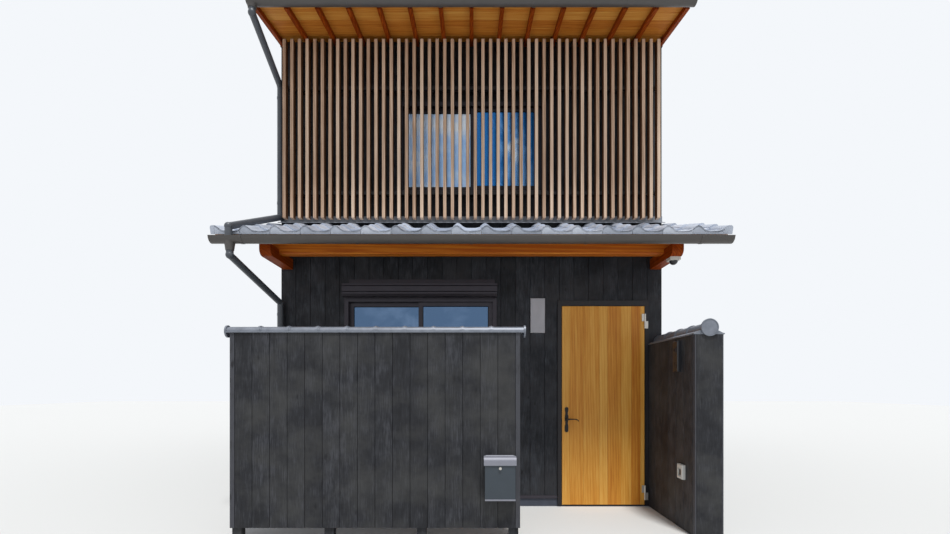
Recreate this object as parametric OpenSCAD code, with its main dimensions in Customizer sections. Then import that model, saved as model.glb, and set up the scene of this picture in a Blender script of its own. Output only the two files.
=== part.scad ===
// Narrow two-storey machiya townhouse: charred cedar walls, an upper front behind a slatted
// lattice, a tiled pent roof over the entrance, and a screen wall before the lower window.
// Millimetres, +Z up, the front faces -Y. The origin is the middle of the house's footprint
// at ground level. Places before the front wall are given as a distance out from its face.

/* [House] */
// Width over the party walls
house_w = 3950; // [3900:10:4800]
// Depth from the front face to the rear face
house_d = 7880; // [6000:10:12000]
// Thickness of the outer walls
wall_t = 150; // [120:5:200]
// Height of the concrete base above the ground
base_h = 80; // [50:5:120]
// Height of the joint between the lower and the upper front wall
storey_z = 2620; // [2560:10:2700]
// Height of the upper floor's surface
floor_z = 2720; // [2600:10:2900]
// Thickness of the upper floor with its joists
floor_t = 200; // [120:10:260]
// Spacing of the joists
joist_pitch = 455; // [300:5:600]
// Height of the rafters' underside at the front wall
eave_z = 4768; // [4600:10:5750]

/* [Main roof] */
// Rise of the roof for each unit of run
roof_pitch = 0.175; // [0.1:0.005:0.3]
// Overhang of the rafters beyond the front and rear walls
eave_out = 636; // [400:10:900]
// Width of a rafter
rafter_w = 36; // [30:1:60]
// Height of a rafter
rafter_h = 46; // [36:1:90]
// Spacing of the rafters
rafter_pitch = 280; // [220:5:455]
// Thickness of the soffit boards
soffit_t = 15; // [9:1:24]
// Thickness of the metal roofing with its underlay
sheet_t = 28; // [15:1:50]
// Distance that the roofing reaches past the rafter ends
sheet_lip = 45; // [20:5:60]
// Width of the ridge cap
ridge_w = 260; // [160:10:400]
// Thickness of the ridge cap
ridge_t = 24; // [10:1:50]
// Spacing of the standing seams
seam_pitch = 440; // [300:10:600]
// Height of a standing seam
seam_h = 22; // [12:1:24]
// Width of a standing seam
seam_w = 14; // [8:1:24]

/* [Gutters and pipes] */
// Outer radius of the half-round gutters
gutter_r = 58; // [50:1:64]
// Wall of the gutters
gutter_t = 3; // [2:0.5:5]
// Width of a gutter bracket
bracket_w = 24; // [16:1:40]
// Thickness of a bracket's band
bracket_t = 3; // [2:0.5:5]
// Outer radius of the downpipes
pipe_r = 31; // [24:1:38]
// Distance that the front pipe's bend lies below the eave
bend_drop = 448; // [300:4:600]
// Distance from the house's side to the pipe on the pent roof
crawl_side = 135; // [120:1:150]
// Clearance between a pipe and the tiles and gutters
pipe_gap = 4; // [3:0.5:8]

/* [Lattice] */
// Distance from the house's sides to the lattice
lattice_in = 72; // [40:1:120]
// Spacing of the upright slats
slat_pitch = 77; // [65:1:110]
// Width of a slat
slat_w = 33; // [24:1:45]
// Depth of a slat
slat_d = 65; // [40:1:80]
// Distance from the wall to the slats' front faces
lattice_out = 150; // [135:1:160]
// Clearance between the slats' lower ends and the tiles
slat_gap = 30; // [15:1:60]
// Height and depth of the rails behind the slats
rail = 34; // [26:1:45]
// Height of the lower rail
low_rail_z = 3200; // [3050:10:3300]
// Height of the upper rail
high_rail_z = 4270; // [4200:10:4500]

/* [Pent roof] */
// Rise of the pent roof for each unit of run
pent_pitch = 0.38; // [0.33:0.01:0.4]
// Distance from the wall to the front edge of the eave tiles
pent_out = 760; // [700:2:920]
// Height of the boarding's top under the front edge of the eave tiles
pent_z = 2578; // [2560:1:2590]
// Width of one tile
tile_w = 265; // [225:1:290]
// Distance that the tiles reach past the house's sides, before it is set to whole tiles
pent_side = 275; // [250:5:320]
// Courses of tiles up the slope
courses = 3; // [2:1:4]
// Thickness of a tile's pan at its lower edge
pan_t = 30; // [22:1:36]
// Height of a tile's roll above its pan
roll_h = 46; // [30:1:50]
// Thickness of the boarding under the tiles
deck_t = 20; // [12:1:26]
// Height of the pent roof's rafters
pent_rafter_h = 50; // [40:1:60]
// Spacing of the pent roof's rafters
pent_rafter_pitch = 333; // [250:1:455]
// Distance from the wall to the front face of the beam
beam_out = 355; // [300:5:420]
// Thickness of the beam, front to back
beam_t = 105; // [90:5:120]
// Height of the beam's underside
beam_z = 2520; // [2500:1:2530]
// Distance that the beam reaches past the house's sides
beam_side = 58; // [40:1:120]
// Width of the cantilevered arms
arm_w = 105; // [90:5:120]
// Height of an arm's section
arm_h = 105; // [90:5:110]
// Radius of an arm's rounded lower nose
nose_r = 60; // [20:5:85]
// Height of the arms' underside
arm_z = 2455; // [2440:1:2460]
// Length of the arms beyond the wall
arm_l = 555; // [480:5:600]
// Distance from the house's side to an arm's outer face
arm_in = 18; // [0:1:60]
// Distance from the boarding's top at the eave down to the rim of the gutter
gutter_drop = 31; // [30:1:45]

/* [Door] */
// Width of the door leaf
leaf_w = 852; // [700:1:900]
// Height of the door leaf
leaf_h = 2050; // [1900:5:2150]
// Thickness of the door leaf
leaf_t = 40; // [33:1:50]
// Height of the leaf's lower edge above the ground
leaf_z = 20; // [18:1:40]
// Distance from the house's right side to the middle of the leaf
door_in = 613; // [611:1:700]
// Gap around the leaf
door_gap = 5; // [5:0.5:8]
// Face width of the door frame's sides
jamb_w = 40; // [30:1:46]
// Face width of the door frame's head
head_w = 55; // [40:1:80]
// Distance that the door and window frames stand out from the wall
frame_out = 20; // [16:1:30]
// Distance that the frame's stop reaches behind the leaf's edge
stop_in = 12; // [8:1:20]
// Radius of the hinge barrels
hinge_r = 9; // [8:0.5:12]
// Length of a hinge
hinge_l = 150; // [100:5:180]
// Height of the lever's axis
lever_z = 905; // [800:5:1050]
// Length of the lever's straight grip
grip_l = 82; // [60:1:95]
// Radius of the curl at the grip's end
curl_r = 38; // [20:1:50]

/* [Windows] */
// Distance from the house's left side to the lower window
low_win_in = 660; // [400:5:680]
// Width of the lower window frame
low_win_w = 1575; // [1200:5:1600]
// Height of the lower window frame
low_win_h = 1170; // [900:5:1400]
// Height of the lower window's sill
low_win_z = 990; // [700:5:990]
// Distance from the house's left side to the upper window
high_win_in = 1225; // [1000:5:1300]
// Width of the upper window frame
high_win_w = 1530; // [1200:5:1700]
// Height of the upper window frame
high_win_h = 945; // [800:5:1000]
// Height of the upper window's sill
high_win_z = 3240; // [3150:5:3300]
// Face width of the frames and sash stiles
stile_w = 42; // [30:1:55]
// Thickness of a sash
sash_t = 28; // [20:1:32]
// Thickness of a pane
pane_t = 12; // [6:1:16]
// Height of the shutter box
shutter_h = 126; // [100:1:170]
// Distance that the shutter box stands out from the wall
shutter_out = 120; // [80:5:160]
// Distance that a window's sill reaches past its frame
sill_nose = 14; // [6:1:24]

/* [Screen wall and return wall] */
// Distance from the wall to the screen wall's front face
screen_out = 1100; // [1000:10:1320]
// Length of the screen wall
screen_l = 2346; // [1800:1:2500]
// Distance from the house's left side to the screen wall's end
screen_in = 23; // [0:1:100]
// Thickness of the screen wall
screen_t = 100; // [80:1:120]
// Thickness of the boarding on both walls
board_t = 15; // [12:1:18]
// Height of the gap under the screen wall's boards
screen_gap = 100; // [60:5:160]
// Height of the screen wall's boarding top
screen_z = 1677; // [1500:5:1800]
// Width of a screen wall post
post_w = 74; // [60:1:90]
// Radius of the screen wall's round cap tiles
screen_tile_r = 42; // [36:1:50]
// Distance that the cap reaches past the screen wall's ends
cap_over = 45; // [20:1:80]
// Thickness of the flat tiles under the screen wall's round ones
flat_t = 10; // [6:1:16]
// Distance that the flat tiles reach past the boarding
flat_over = 10; // [4:1:25]
// Length of the return wall out from the house
return_out = 1030; // [900:10:1240]
// Thickness of the return wall
return_t = 235; // [190:1:285]
// Clearance between the door frame and the return wall
return_gap = 3; // [2:1:10]
// Height of the return wall's boarding top
return_z = 1672; // [1500:4:1800]
// Radius of the return wall's round cap tiles
return_tile_r = 64; // [54:1:70]
// Height of the sloped bedding under the return wall's cap tiles
bed_h = 34; // [20:1:50]
// Visible length of one cap tile between the two end tiles
cap_pitch = 235; // [200:1:260]
// Width of the strap over a joint of the cap tiles
strap_w = 34; // [20:1:50]
// Height of the strap over the cap tiles
strap_h = 8; // [4:1:12]

/* [Fittings] */
// Width of the letter box
box_w = 240; // [200:1:300]
// Height of the letter box
box_h = 350; // [300:1:400]
// Depth of the letter box
box_d = 95; // [80:1:120]
// Height of the letter box's underside
box_z = 342; // [250:1:600]
// Distance from the screen wall's right end to the letter box
box_in = 48; // [20:1:200]
// Wall of the letter box
box_t = 3; // [2:0.5:5]
// Height of the letter box lid's front flap
flap_h = 72; // [60:1:90]
// Outer radius of the lid's rounded front edge
lid_r = 33; // [15:1:36]
// Clearance between the lid and the letter box
lid_gap = 5; // [5:0.5:8]
// Radius of the letter box's hinge rod
rod_r = 3; // [2:0.25:4]
// Clearance between the lid's tube and the hinge rod
rod_gap = 0.3; // [0.2:0.05:0.5]
// Width of the nameplate
plate_w = 150; // [100:1:200]
// Height of the nameplate
plate_h = 358; // [200:1:400]
// Distance from the door frame to the nameplate
plate_in = 131; // [60:1:160]
// Height of the nameplate's lower edge
plate_z = 1796; // [1400:4:1800]
// Width of the intercom
intercom_w = 105; // [80:1:130]
// Height of the intercom
intercom_h = 275; // [140:5:300]
// Distance that the intercom stands out from the return wall
intercom_t = 38; // [20:1:45]
// Distance from the house to the intercom
intercom_out = 665; // [500:5:760]
// Height of the intercom's underside
intercom_z = 1370; // [1200:5:1390]
// Width of the outlet's cover
outlet_w = 107; // [80:1:130]
// Height of the outlet's cover
outlet_h = 125; // [100:1:150]
// Distance that the outlet's cover stands out from the return wall
outlet_t = 28; // [15:1:40]
// Distance from the house to the outlet
outlet_out = 745; // [600:5:840]
// Height of the outlet cover's underside
outlet_z = 440; // [250:5:600]
// Radius of the sensor light's dome
dome_r = 38; // [25:1:42]

/* [Hidden] */
$fn = 48;

half_w = house_w / 2;
half_d = house_d / 2;
// How far a cutter reaches past what it cuts
eps = 1;
// Clearance of boards that seat on a sloping face
seat = 0.05;

// Height of the rafters' underside, and Y, at a distance out from the front wall
function roof_z(out) = eave_z - roof_pitch * out;
function out_y(out) = -half_d - out;
// Height of the top of the pent roof's boarding, and of what lies over it by h, square to it
function deck_z(out) = pent_z + pent_pitch * (pent_out - out);
function over_deck(out, h) = deck_z(out) + h / cos(pent_angle);
// Whole number of equal steps nearest to a pitch
function steps(length, pitch) = max(1, round(length / pitch));

roof_stack = rafter_h + soffit_t + sheet_t;
// Thickness of the pent roof's tiles with a roll
crown = pan_t + roll_h;
ridge_z = roof_z(-half_d) + roof_stack;
rafter_bays = steps(house_w - rafter_w, rafter_pitch);
rafter_step = (house_w - rafter_w) / rafter_bays;
lattice_w = house_w - 2 * lattice_in;
slat_bays = steps(lattice_w - slat_w, slat_pitch);
slat_step = (lattice_w - slat_w) / slat_bays;
slat_z = deck_z(lattice_out - slat_d) + crown + slat_gap;

door_x = half_w - door_in;
door_l = door_x - leaf_w / 2;
door_r = door_x + leaf_w / 2;
opening_l = door_l - door_gap - jamb_w;
opening_r = door_r + door_gap + jamb_w;
opening_z = leaf_z + leaf_h + door_gap + head_w;
sill_z = leaf_z - 8;
hinge_x = door_r + door_gap / 2;
hinge_out = frame_out + hinge_r + 1;
hinge_zs = [leaf_z + 50, leaf_z + leaf_h - 80 - hinge_l];
low_win_x = -half_w + low_win_in + low_win_w / 2;
high_win_x = -half_w + high_win_in + high_win_w / 2;

tiles = ceil((house_w + 2 * pent_side) / tile_w - 0.1);
pent_half = tiles * tile_w / 2;
pent_angle = atan(pent_pitch);
slope_l = pent_out / cos(pent_angle);
// The boarding ends behind the tiles' edge and reaches past the tiles at the sides
deck_out = pent_out - 40;
deck_side = 20;
arm_x = half_w - arm_in - arm_w / 2;
beam_l = house_w + 2 * beam_side;
// The pent roof's rafters lie between the ends of the beam
pent_rafter_out = deck_out - 35;
pent_span = beam_l - 2 * 33;
pent_bays = steps(pent_span, pent_rafter_pitch);

screen_l_x = -half_w + screen_in;
screen_r_x = screen_l_x + screen_l;
screen_mid = screen_out - screen_t / 2;
return_x = opening_r + return_gap;
return_mid = return_x + return_t / 2;

// A block between two corners
module block(a, b) translate(a) cube(b - a);

// An outline in the Y-Z plane, run from x0 to x1
module across(x0, x1, outline)
    translate([x0, 0, 0]) rotate([90, 0, 90]) linear_extrude(x1 - x0) polygon(outline);

// A round bar between two points
module bar(a, b, r) {
    d = b - a;
    l = norm(d);
    translate(a) rotate([0, acos(d.z / l), atan2(d.y, d.x)]) cylinder(h = l, r = r);
}

// A pipe along a route, with a round elbow fitting at each bend
module pipe(route) {
    for (i = [1 : len(route) - 1]) bar(route[i - 1], route[i], pipe_r);
    for (i = [1 : len(route) - 2]) translate(route[i]) sphere(r = elbow_r);
}

module foundation() color("dimgray")
    difference() {
        block([-half_w, -half_d, 0], [half_w, half_d, base_h]);
        block([opening_l, -half_d - eps, sill_z], [opening_r, -half_d + wall_t, base_h + eps]);
    }

// A wall piece in the front plane, between two X and two Z
module front_slab(x0, x1, z0, z1) block([x0, -half_d, z0], [x1, -half_d + wall_t, z1]);

module window_hole(x, w, z, h, y) block([x - w / 2, y - eps, z], [x + w / 2, y + wall_t + eps, z + h]);

module front_wall_left() color("#39393c")
    difference() {
        front_slab(-half_w, opening_l, base_h, storey_z);
        window_hole(low_win_x, low_win_w, low_win_z, low_win_h, -half_d);
    }

module front_wall_right() color("#39393c") front_slab(opening_r, half_w, base_h, storey_z);

module front_wall_over_door() color("#39393c") front_slab(opening_l, opening_r, opening_z, storey_z);

module upper_front_wall() color("#2b2b2e")
    difference() {
        across(-half_w, half_w, [[-half_d, storey_z], [-half_d + wall_t, storey_z],
            [-half_d + wall_t, roof_z(-wall_t)], [-half_d, roof_z(0)]]);
        window_hole(high_win_x, high_win_w, high_win_z, high_win_h, -half_d);
    }

module rear_wall() color("#39393c")
    difference() {
        across(-half_w, half_w, [[half_d - wall_t, base_h], [half_d, base_h],
            [half_d, roof_z(0)], [half_d - wall_t, roof_z(-wall_t)]]);
        window_hole(-low_win_x, low_win_w, low_win_z, low_win_h, half_d - wall_t);
        window_hole(-high_win_x, high_win_w, high_win_z, high_win_h, half_d - wall_t);
    }

module party_wall(x0) {
    y = half_d - wall_t;
    across(x0, x0 + wall_t, [[-y, base_h], [y, base_h], [y, roof_z(-wall_t)],
        [0, roof_z(-half_d)], [-y, roof_z(-wall_t)]]);
}
module left_party_wall() color("#39393c") party_wall(-half_w);
module right_party_wall() color("#39393c") party_wall(half_w - wall_t);

// Boards on joists that run from side to side
module upper_floor() color("burlywood") {
    board = 28;
    joist = 60;
    x = half_w - wall_t;
    y = half_d - wall_t;
    block([-x, -y, floor_z - board], [x, y, floor_z]);
    bays = steps(2 * y - joist, joist_pitch);
    for (i = [0 : bays]) {
        joist_y = -y + i * (2 * y - joist) / bays;
        block([-x, joist_y, floor_z - floor_t], [x, joist_y + joist, floor_z - board]);
    }
}

module door_frame() color("#2e2a2b")
    difference() {
        block([opening_l, out_y(frame_out), sill_z], [opening_r, -half_d + wall_t, opening_z]);
        block([door_l - door_gap, out_y(frame_out) - eps, sill_z - eps],
            [door_r + door_gap, out_y(frame_out - leaf_t - door_gap), opening_z - head_w]);
        // Behind the leaf the opening is narrower, so that the leaf closes against a stop
        block([door_l + stop_in, out_y(frame_out), sill_z - eps],
            [door_r - stop_in, -half_d + wall_t + eps, opening_z - head_w - door_gap - stop_in]);
    }

module door_leaf() color("#aa7838")
    block([door_l, out_y(frame_out), leaf_z], [door_r, out_y(frame_out - leaf_t), leaf_z + leaf_h]);

handle_x = door_l + 46;
handle_w = 36;
handle_h = 260;
handle_z = lever_z - 136;
plate_out = frame_out + 8;
rose_out = plate_out + 8;

// A round piece of the door plate, a height off the leaf
module on_plate(z, out, r)
    translate([handle_x, out_y(frame_out), z]) rotate([90, 0, 0]) cylinder(h = out - frame_out, r = r);

// The plate has rounded ends and waists between the lever's rose and the lock's
module door_plate() color("#1c1a1a") {
    difference() {
        end_r = handle_w / 2;
        waist_r = 70;
        union() {
            block([handle_x - end_r, out_y(plate_out), handle_z + end_r],
                [handle_x + end_r, out_y(frame_out), handle_z + handle_h - end_r]);
            for (z = [handle_z + end_r, handle_z + handle_h - end_r]) on_plate(z, plate_out, end_r);
        }
        for (side = [-1, 1], z = [lever_z - 42, lever_z + 62])
            translate([handle_x + side * (end_r + waist_r - 6), out_y(frame_out - eps), z])
                rotate([90, 0, 0]) cylinder(h = plate_out - frame_out + 2 * eps, r = waist_r);
    }
    on_plate(lever_z, rose_out, 16);
    on_plate(lever_z - 84, rose_out - 2, 12);
}

lever_out = frame_out + 52;
// A neck, a straight grip that tapers away from it, and a curl down at the grip's end
module door_lever() color("#2a2220") {
    neck_r = 9;
    grip_r = 5;
    neck = rose_out + 0.3;
    translate([handle_x, out_y(neck), lever_z]) rotate([90, 0, 0]) cylinder(h = lever_out - neck, r = neck_r);
    translate([handle_x, out_y(lever_out - neck_r + 1), lever_z]) {
        rotate([0, 90, 0]) cylinder(h = grip_l, r1 = neck_r - 1, r2 = grip_r);
        // The curl is a piece of a ring, from its top round towards the tip
        translate([grip_l, 0, -curl_r]) rotate([90, 0, 0]) intersection() {
            rotate_extrude() translate([curl_r, 0]) circle(r = grip_r);
            m = 2 * curl_r;
            translate([0, 0, -m]) linear_extrude(2 * m) polygon([[0, 0], [m, m / 2], [m, m], [0, m]]);
        }
    }
}

// Half of a hinge about its own axis: a barrel of height h with a cranked leaf on one side
module hinge_half(h, side) {
    leaf = 32;
    crank = 12;
    t = 4;
    cylinder(h = h, r = hinge_r);
    mirror([side < 0 ? 1 : 0, 0, 0]) {
        block([0, 0, 0], [leaf, t, h]);
        block([crank, t, 0], [leaf, hinge_out - frame_out, h]);
    }
}

module hinge_pins() color("#d8d2c4")
    for (z = hinge_zs) translate([hinge_x, out_y(hinge_out), z]) {
        hinge_half(hinge_l / 2 - 0.5, 1);
        cylinder(h = hinge_l - 6, r = hinge_r / 2);
    }

module hinge_knuckles() color("#d8d2c4")
    for (z = hinge_zs) translate([hinge_x, out_y(hinge_out), z + hinge_l / 2]) difference() {
        hinge_half(hinge_l / 2, -1);
        translate([0, 0, -eps]) cylinder(h = hinge_l / 2 - 4, r = hinge_r / 2 + 0.1);
    }

// A sliding window: a frame with two sashes in two tracks, the left one behind.
// It stands in the wall's hole with its face out by frame_out. Outwards is -Y.
track = 3;
sash_in = 9;
win_d = 2 * (sash_t + track) + sash_in;
module window_frame(x, w, z, h) {
    difference() {
        block([x - w / 2, -frame_out, z], [x + w / 2, win_d, z + h]);
        block([x - w / 2 + stile_w, -frame_out - eps, z + stile_w],
            [x + w / 2 - stile_w, win_d + eps, z + h - stile_w]);
    }
    // The sill slopes down to a nose before the frame
    across(x - w / 2, x + w / 2, [[-frame_out - sill_nose, z], [-frame_out, z],
        [-frame_out, z + 24], [-frame_out - sill_nose, z + 16]]);
    sash_w = (w - stile_w) / 2;
    sash(x - w / 2 + stile_w, sash_w, z, h, sash_in + sash_t + track);
    sash(x + w / 2 - stile_w - sash_w, sash_w, z, h, sash_in);
}
module sash(x, w, z, h, y)
    difference() {
        block([x, y, z + stile_w], [x + w, y + sash_t, z + h - stile_w]);
        block([x + stile_w, y - eps, z + 2 * stile_w],
            [x + w - stile_w, y + sash_t + eps, z + h - 2 * stile_w]);
    }
module window_panes(x, w, z, h) {
    sash_w = (w - stile_w) / 2;
    for (side = [[x - w / 2 + stile_w, sash_in + sash_t + track], [x + w / 2 - stile_w - sash_w, sash_in]])
        block([side[0] + stile_w, side[1] + (sash_t - pane_t) / 2, z + 2 * stile_w],
            [side[0] + sash_w - stile_w, side[1] + (sash_t + pane_t) / 2, z + h - 2 * stile_w]);
}
module in_front() translate([0, -half_d, 0]) children();
module in_rear() rotate([0, 0, 180]) translate([0, -half_d, 0]) children();

module lower_window_frame() color("#2e2a2b") in_front()
    window_frame(low_win_x, low_win_w, low_win_z, low_win_h);
module lower_window_glass() color("#5f7fa8") in_front()
    window_panes(low_win_x, low_win_w, low_win_z, low_win_h);
module upper_window_frame() color("#2e2a2b") in_front()
    window_frame(high_win_x, high_win_w, high_win_z, high_win_h);
module upper_window_glass() color("#5f7fa8") in_front()
    window_panes(high_win_x, high_win_w, high_win_z, high_win_h);
module rear_window_frames() color("#2e2a2b") in_rear() {
    window_frame(low_win_x, low_win_w, low_win_z, low_win_h);
    window_frame(high_win_x, high_win_w, high_win_z, high_win_h);
}
module rear_window_glass() color("#5f7fa8") in_rear() {
    window_panes(low_win_x, low_win_w, low_win_z, low_win_h);
    window_panes(high_win_x, high_win_w, high_win_z, high_win_h);
}

// Box of the rolled shutter over the lower window, with a drip strip over it
module shutter_box() color("#39353a") {
    z = low_win_z + low_win_h;
    top = z + shutter_h;
    fall = 22;
    groove = 5;
    // The face has a groove near its upper and its lower edge
    across(low_win_x - low_win_w / 2, low_win_x + low_win_w / 2,
        concat([[out_y(0), z], [out_y(shutter_out - fall), z], [out_y(shutter_out), z + fall]],
        [for (g = [z + 2 * fall, top - fall], corner = [[0, -groove], [groove, 0], [0, groove]])
            [out_y(shutter_out - corner[0]), g + corner[1]]],
        [[out_y(shutter_out), top], [out_y(0), top + fall]]));
    // Drip strip on the wall
    block([low_win_x - low_win_w / 2 + 50, out_y(24), top + fall / 2],
        [low_win_x + low_win_w / 2 - 20, out_y(0), top + fall + 40]);
}

// Slats before two rails, which stand off the wall on short blocks
module lattice() color("#c8a88a") {
    rails_x = lattice_w / 2;
    for (i = [0 : slat_bays])
        translate([-rails_x + i * slat_step, out_y(lattice_out), slat_z])
            cube([slat_w, slat_d, roof_z(lattice_out) - slat_z]);
    for (z = [low_rail_z, high_rail_z]) {
        back = lattice_out - slat_d;
        block([-rails_x, out_y(back), z], [rails_x, out_y(back - rail), z + rail]);
        for (k = [-2 : 2])
            translate([k * rails_x * 0.46, 0, z])
                block([-rail / 2, out_y(back - rail), 0], [rail / 2, out_y(0), rail]);
    }
}

// The arms have a rounded lower nose and carry the beam, which is cogged over them
module arm(side)
    translate([side * arm_x - arm_w / 2, 0, 0]) difference() {
        block([0, out_y(arm_l), arm_z], [arm_w, out_y(0), arm_z + arm_h]);
        translate([-eps, out_y(arm_l), arm_z]) difference() {
            translate([0, -eps, -eps]) cube([arm_w + 2 * eps, nose_r + eps, nose_r + eps]);
            translate([-eps, nose_r, nose_r]) rotate([0, 90, 0]) cylinder(h = arm_w + 4 * eps, r = nose_r);
        }
    }
module pent_arms() color("#b4621c") {
    arm(-1);
    arm(1);
}

module pent_beam() color("#b4621c")
    difference() {
        under = deck_t + pent_rafter_h;
        back = beam_out - beam_t;
        ease = 8;
        across(-beam_l / 2, beam_l / 2, [[out_y(beam_out), beam_z + ease], [out_y(beam_out - ease), beam_z],
            [out_y(back + ease), beam_z], [out_y(back), beam_z + ease],
            [out_y(back), deck_z(back) - under], [out_y(beam_out), deck_z(beam_out) - under]]);
        for (x = [-arm_x, arm_x])
            block([x - arm_w / 2, out_y(arm_l), arm_z], [x + arm_w / 2, out_y(0), arm_z + arm_h]);
    }

// Places of the pent roof's rafters, all or every few of them
function pent_rafter_xs(every) =
    [for (i = [0 : every : pent_bays]) -pent_span / 2 + i * pent_span / pent_bays];
module pent_rafters() color("#b5772f")
    for (x = pent_rafter_xs(1))
        across(x - rafter_w / 2, x + rafter_w / 2,
            [[out_y(0), deck_z(0) - deck_t - pent_rafter_h],
            [out_y(pent_rafter_out), deck_z(pent_rafter_out) - deck_t - pent_rafter_h],
            [out_y(pent_rafter_out), deck_z(pent_rafter_out) - deck_t], [out_y(0), deck_z(0) - deck_t]]);

module pent_deck() color("#b5772f")
    across(-pent_half - deck_side, pent_half + deck_side, [[out_y(0), deck_z(0) - deck_t],
        [out_y(deck_out), deck_z(deck_out) - deck_t], [out_y(deck_out), deck_z(deck_out)],
        [out_y(0), deck_z(0)]]);

// Height of a tile over its pan, at a place across the roof counted in tiles: a narrow roll
// at each whole number and a broad pan between them
function roll(t) = roll_h * pow(0.5 + 0.5 * cos(360 * t), 3);
tile_steps = 12;
wave = [for (i = [0 : tiles * tile_steps]) let (t = i / tile_steps)
    [-pent_half + t * tile_w, pan_t + roll(t)]];
// Width of the edge tiles beyond the last roll
verge = 37;

// One course of tiles, which tips down towards its head so that the next lies over it
lift = 18;
module course(length)
    rotate([-atan(lift / length), 0, 0]) translate([0, length, 0]) rotate([90, 0, 0])
        linear_extrude(length) polygon(concat([[-pent_half - verge, 0], [-pent_half - verge, crown]],
            wave, [[pent_half + verge, crown], [pent_half + verge, 0]]));

module pent_tiles() color("#9ca0ac")
    difference() {
        translate([0, out_y(pent_out), deck_z(pent_out)]) rotate([pent_angle, 0, 0])
            for (k = [0 : courses - 1]) {
                lap = k == courses - 1 ? 60 : 25;
                translate([0, k * slope_l / courses, 0]) course(slope_l / courses + lap);
            }
        // What lies under the boarding's top or inside the wall is cut away
        m = 100;
        across(-pent_half - m, pent_half + m, [[out_y(pent_out + m), deck_z(pent_out + m) - 2 * m],
            [out_y(-m), deck_z(-m) - 2 * m], [out_y(-m), deck_z(-m)],
            [out_y(pent_out + m), deck_z(pent_out + m)]]);
        block([-pent_half - m, out_y(0), pent_z - m], [pent_half + m, out_y(-3 * m), deck_z(0) + 3 * m]);
    }

flashing_t = 8;
module pent_flashing() color("#a9adb6") {
    lap = 90;
    up = 60;
    low = crown + 1;
    top = crown + flashing_t;
    across(-half_w, half_w, [[out_y(0), deck_z(0) + low], [out_y(lap), deck_z(lap) + low],
        [out_y(lap), deck_z(lap) + top], [out_y(10), deck_z(10) + top],
        [out_y(10), deck_z(0) + crown + up], [out_y(0), deck_z(0) + crown + up]]);
}

// A half-round gutter with closed ends and a bead along its front rim, its middle at the origin.
// A funnel of height funnel_h narrows from it to a pipe.
bead_r = 4;
// The bead is a little thinner than the brackets' bands, and its top is cut flat with the rim
bead_y = bead_r + 0.5 - gutter_r - bracket_t;
bead_z = 1 - bead_r;
module trough(length, socket_x, funnel_h) {
    reach = gutter_r + bracket_t;
    difference() {
        union() {
            translate([-length / 2, 0, 0]) rotate([0, 90, 0]) cylinder(h = length, r = gutter_r);
            translate([socket_x, 0, -gutter_r - funnel_h])
                cylinder(h = gutter_r / 2 + funnel_h, r1 = elbow_r, r2 = gutter_r - 10);
            translate([-length / 2, bead_y, bead_z]) rotate([0, 90, 0]) cylinder(h = length, r = bead_r);
        }
        translate([-length / 2 + gutter_t, 0, 0]) rotate([0, 90, 0])
            cylinder(h = length - 2 * gutter_t, r = gutter_r - gutter_t);
        block([-length / 2 - eps, -reach, 0], [length / 2 + eps, reach, reach]);
        translate([socket_x, 0, -gutter_r - funnel_h - eps])
            cylinder(h = gutter_r + funnel_h, r = pipe_r - gutter_t);
    }
}
// A bar from a rafter's end to the trough's back, and a band round the trough and its bead
module brackets(places, gap)
    for (x = places) translate([x - bracket_w / 2, 0, 0]) {
        block([0, gutter_r - gutter_t, -16], [bracket_w, gutter_r + gap, -4]);
        rotate([0, 90, 0]) difference() {
            cylinder(h = bracket_w, r = gutter_r + bracket_t);
            translate([0, 0, -eps]) cylinder(h = bracket_w + 2 * eps, r = gutter_r - gutter_t / 2);
            m = 2 * gutter_r;
            block([-m, -m, -eps], [0, m, bracket_w + eps]);
        }
    }

pent_funnel_h = 60;
pent_gutter_out = pent_out + 24;
pent_gutter_z = pent_z - gutter_drop;
module pent_gutter() color("#474749")
    translate([0, out_y(pent_gutter_out), pent_gutter_z]) {
        trough(2 * (pent_half + deck_side), crawl_x, pent_funnel_h);
        brackets(pent_rafter_xs(3), pent_gutter_out - pent_rafter_out - gutter_r);
    }

// Distance that the roofing reaches past the house's sides
verge_over = 10;
module roof_slope(side) {
    x = half_w + verge_over;
    tip = eave_out + sheet_lip;
    // The seams run up to the ridge cap
    head = ridge_w / 2 - half_d;
    bays = steps(2 * x - seam_w, seam_pitch);
    mirror([0, side > 0 ? 1 : 0, 0]) {
        across(-x, x, [[out_y(tip), roof_z(tip) + rafter_h + soffit_t],
            [out_y(0), roof_z(0) + rafter_h + soffit_t], [out_y(0), roof_z(0)], [0, roof_z(-half_d)],
            [0, ridge_z], [out_y(tip), roof_z(tip) + roof_stack]]);
        // The roofing folds down at the eave
        block([-x, out_y(tip), roof_z(tip) + rafter_h + soffit_t - 14],
            [x, out_y(tip - 4), roof_z(tip) + rafter_h + soffit_t + 4]);
        for (i = [0 : bays]) {
            seam_x = -x + i * (2 * x - seam_w) / bays;
            foot = roof_stack - eps;
            top = roof_stack + seam_h;
            across(seam_x, seam_x + seam_w, [[out_y(tip), roof_z(tip) + foot],
                [out_y(head), roof_z(head) + foot], [out_y(head), roof_z(head) + top],
                [out_y(tip), roof_z(tip) + top]]);
        }
    }
}
module roof_front_slope() color("#3a3c40") roof_slope(-1);
module roof_rear_slope() color("#3a3c40") roof_slope(1);

module ridge_cap() color("#33353a") {
    w = ridge_w / 2;
    drop = roof_pitch * w;
    across(-half_w - verge_over, half_w + verge_over, [[-w, ridge_z - drop], [0, ridge_z], [w, ridge_z - drop],
        [w, ridge_z - drop + ridge_t], [0, ridge_z + ridge_t], [-w, ridge_z - drop + ridge_t]]);
}

module both_ends() for (m = [0, 1]) mirror([0, m, 0]) children();

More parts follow.
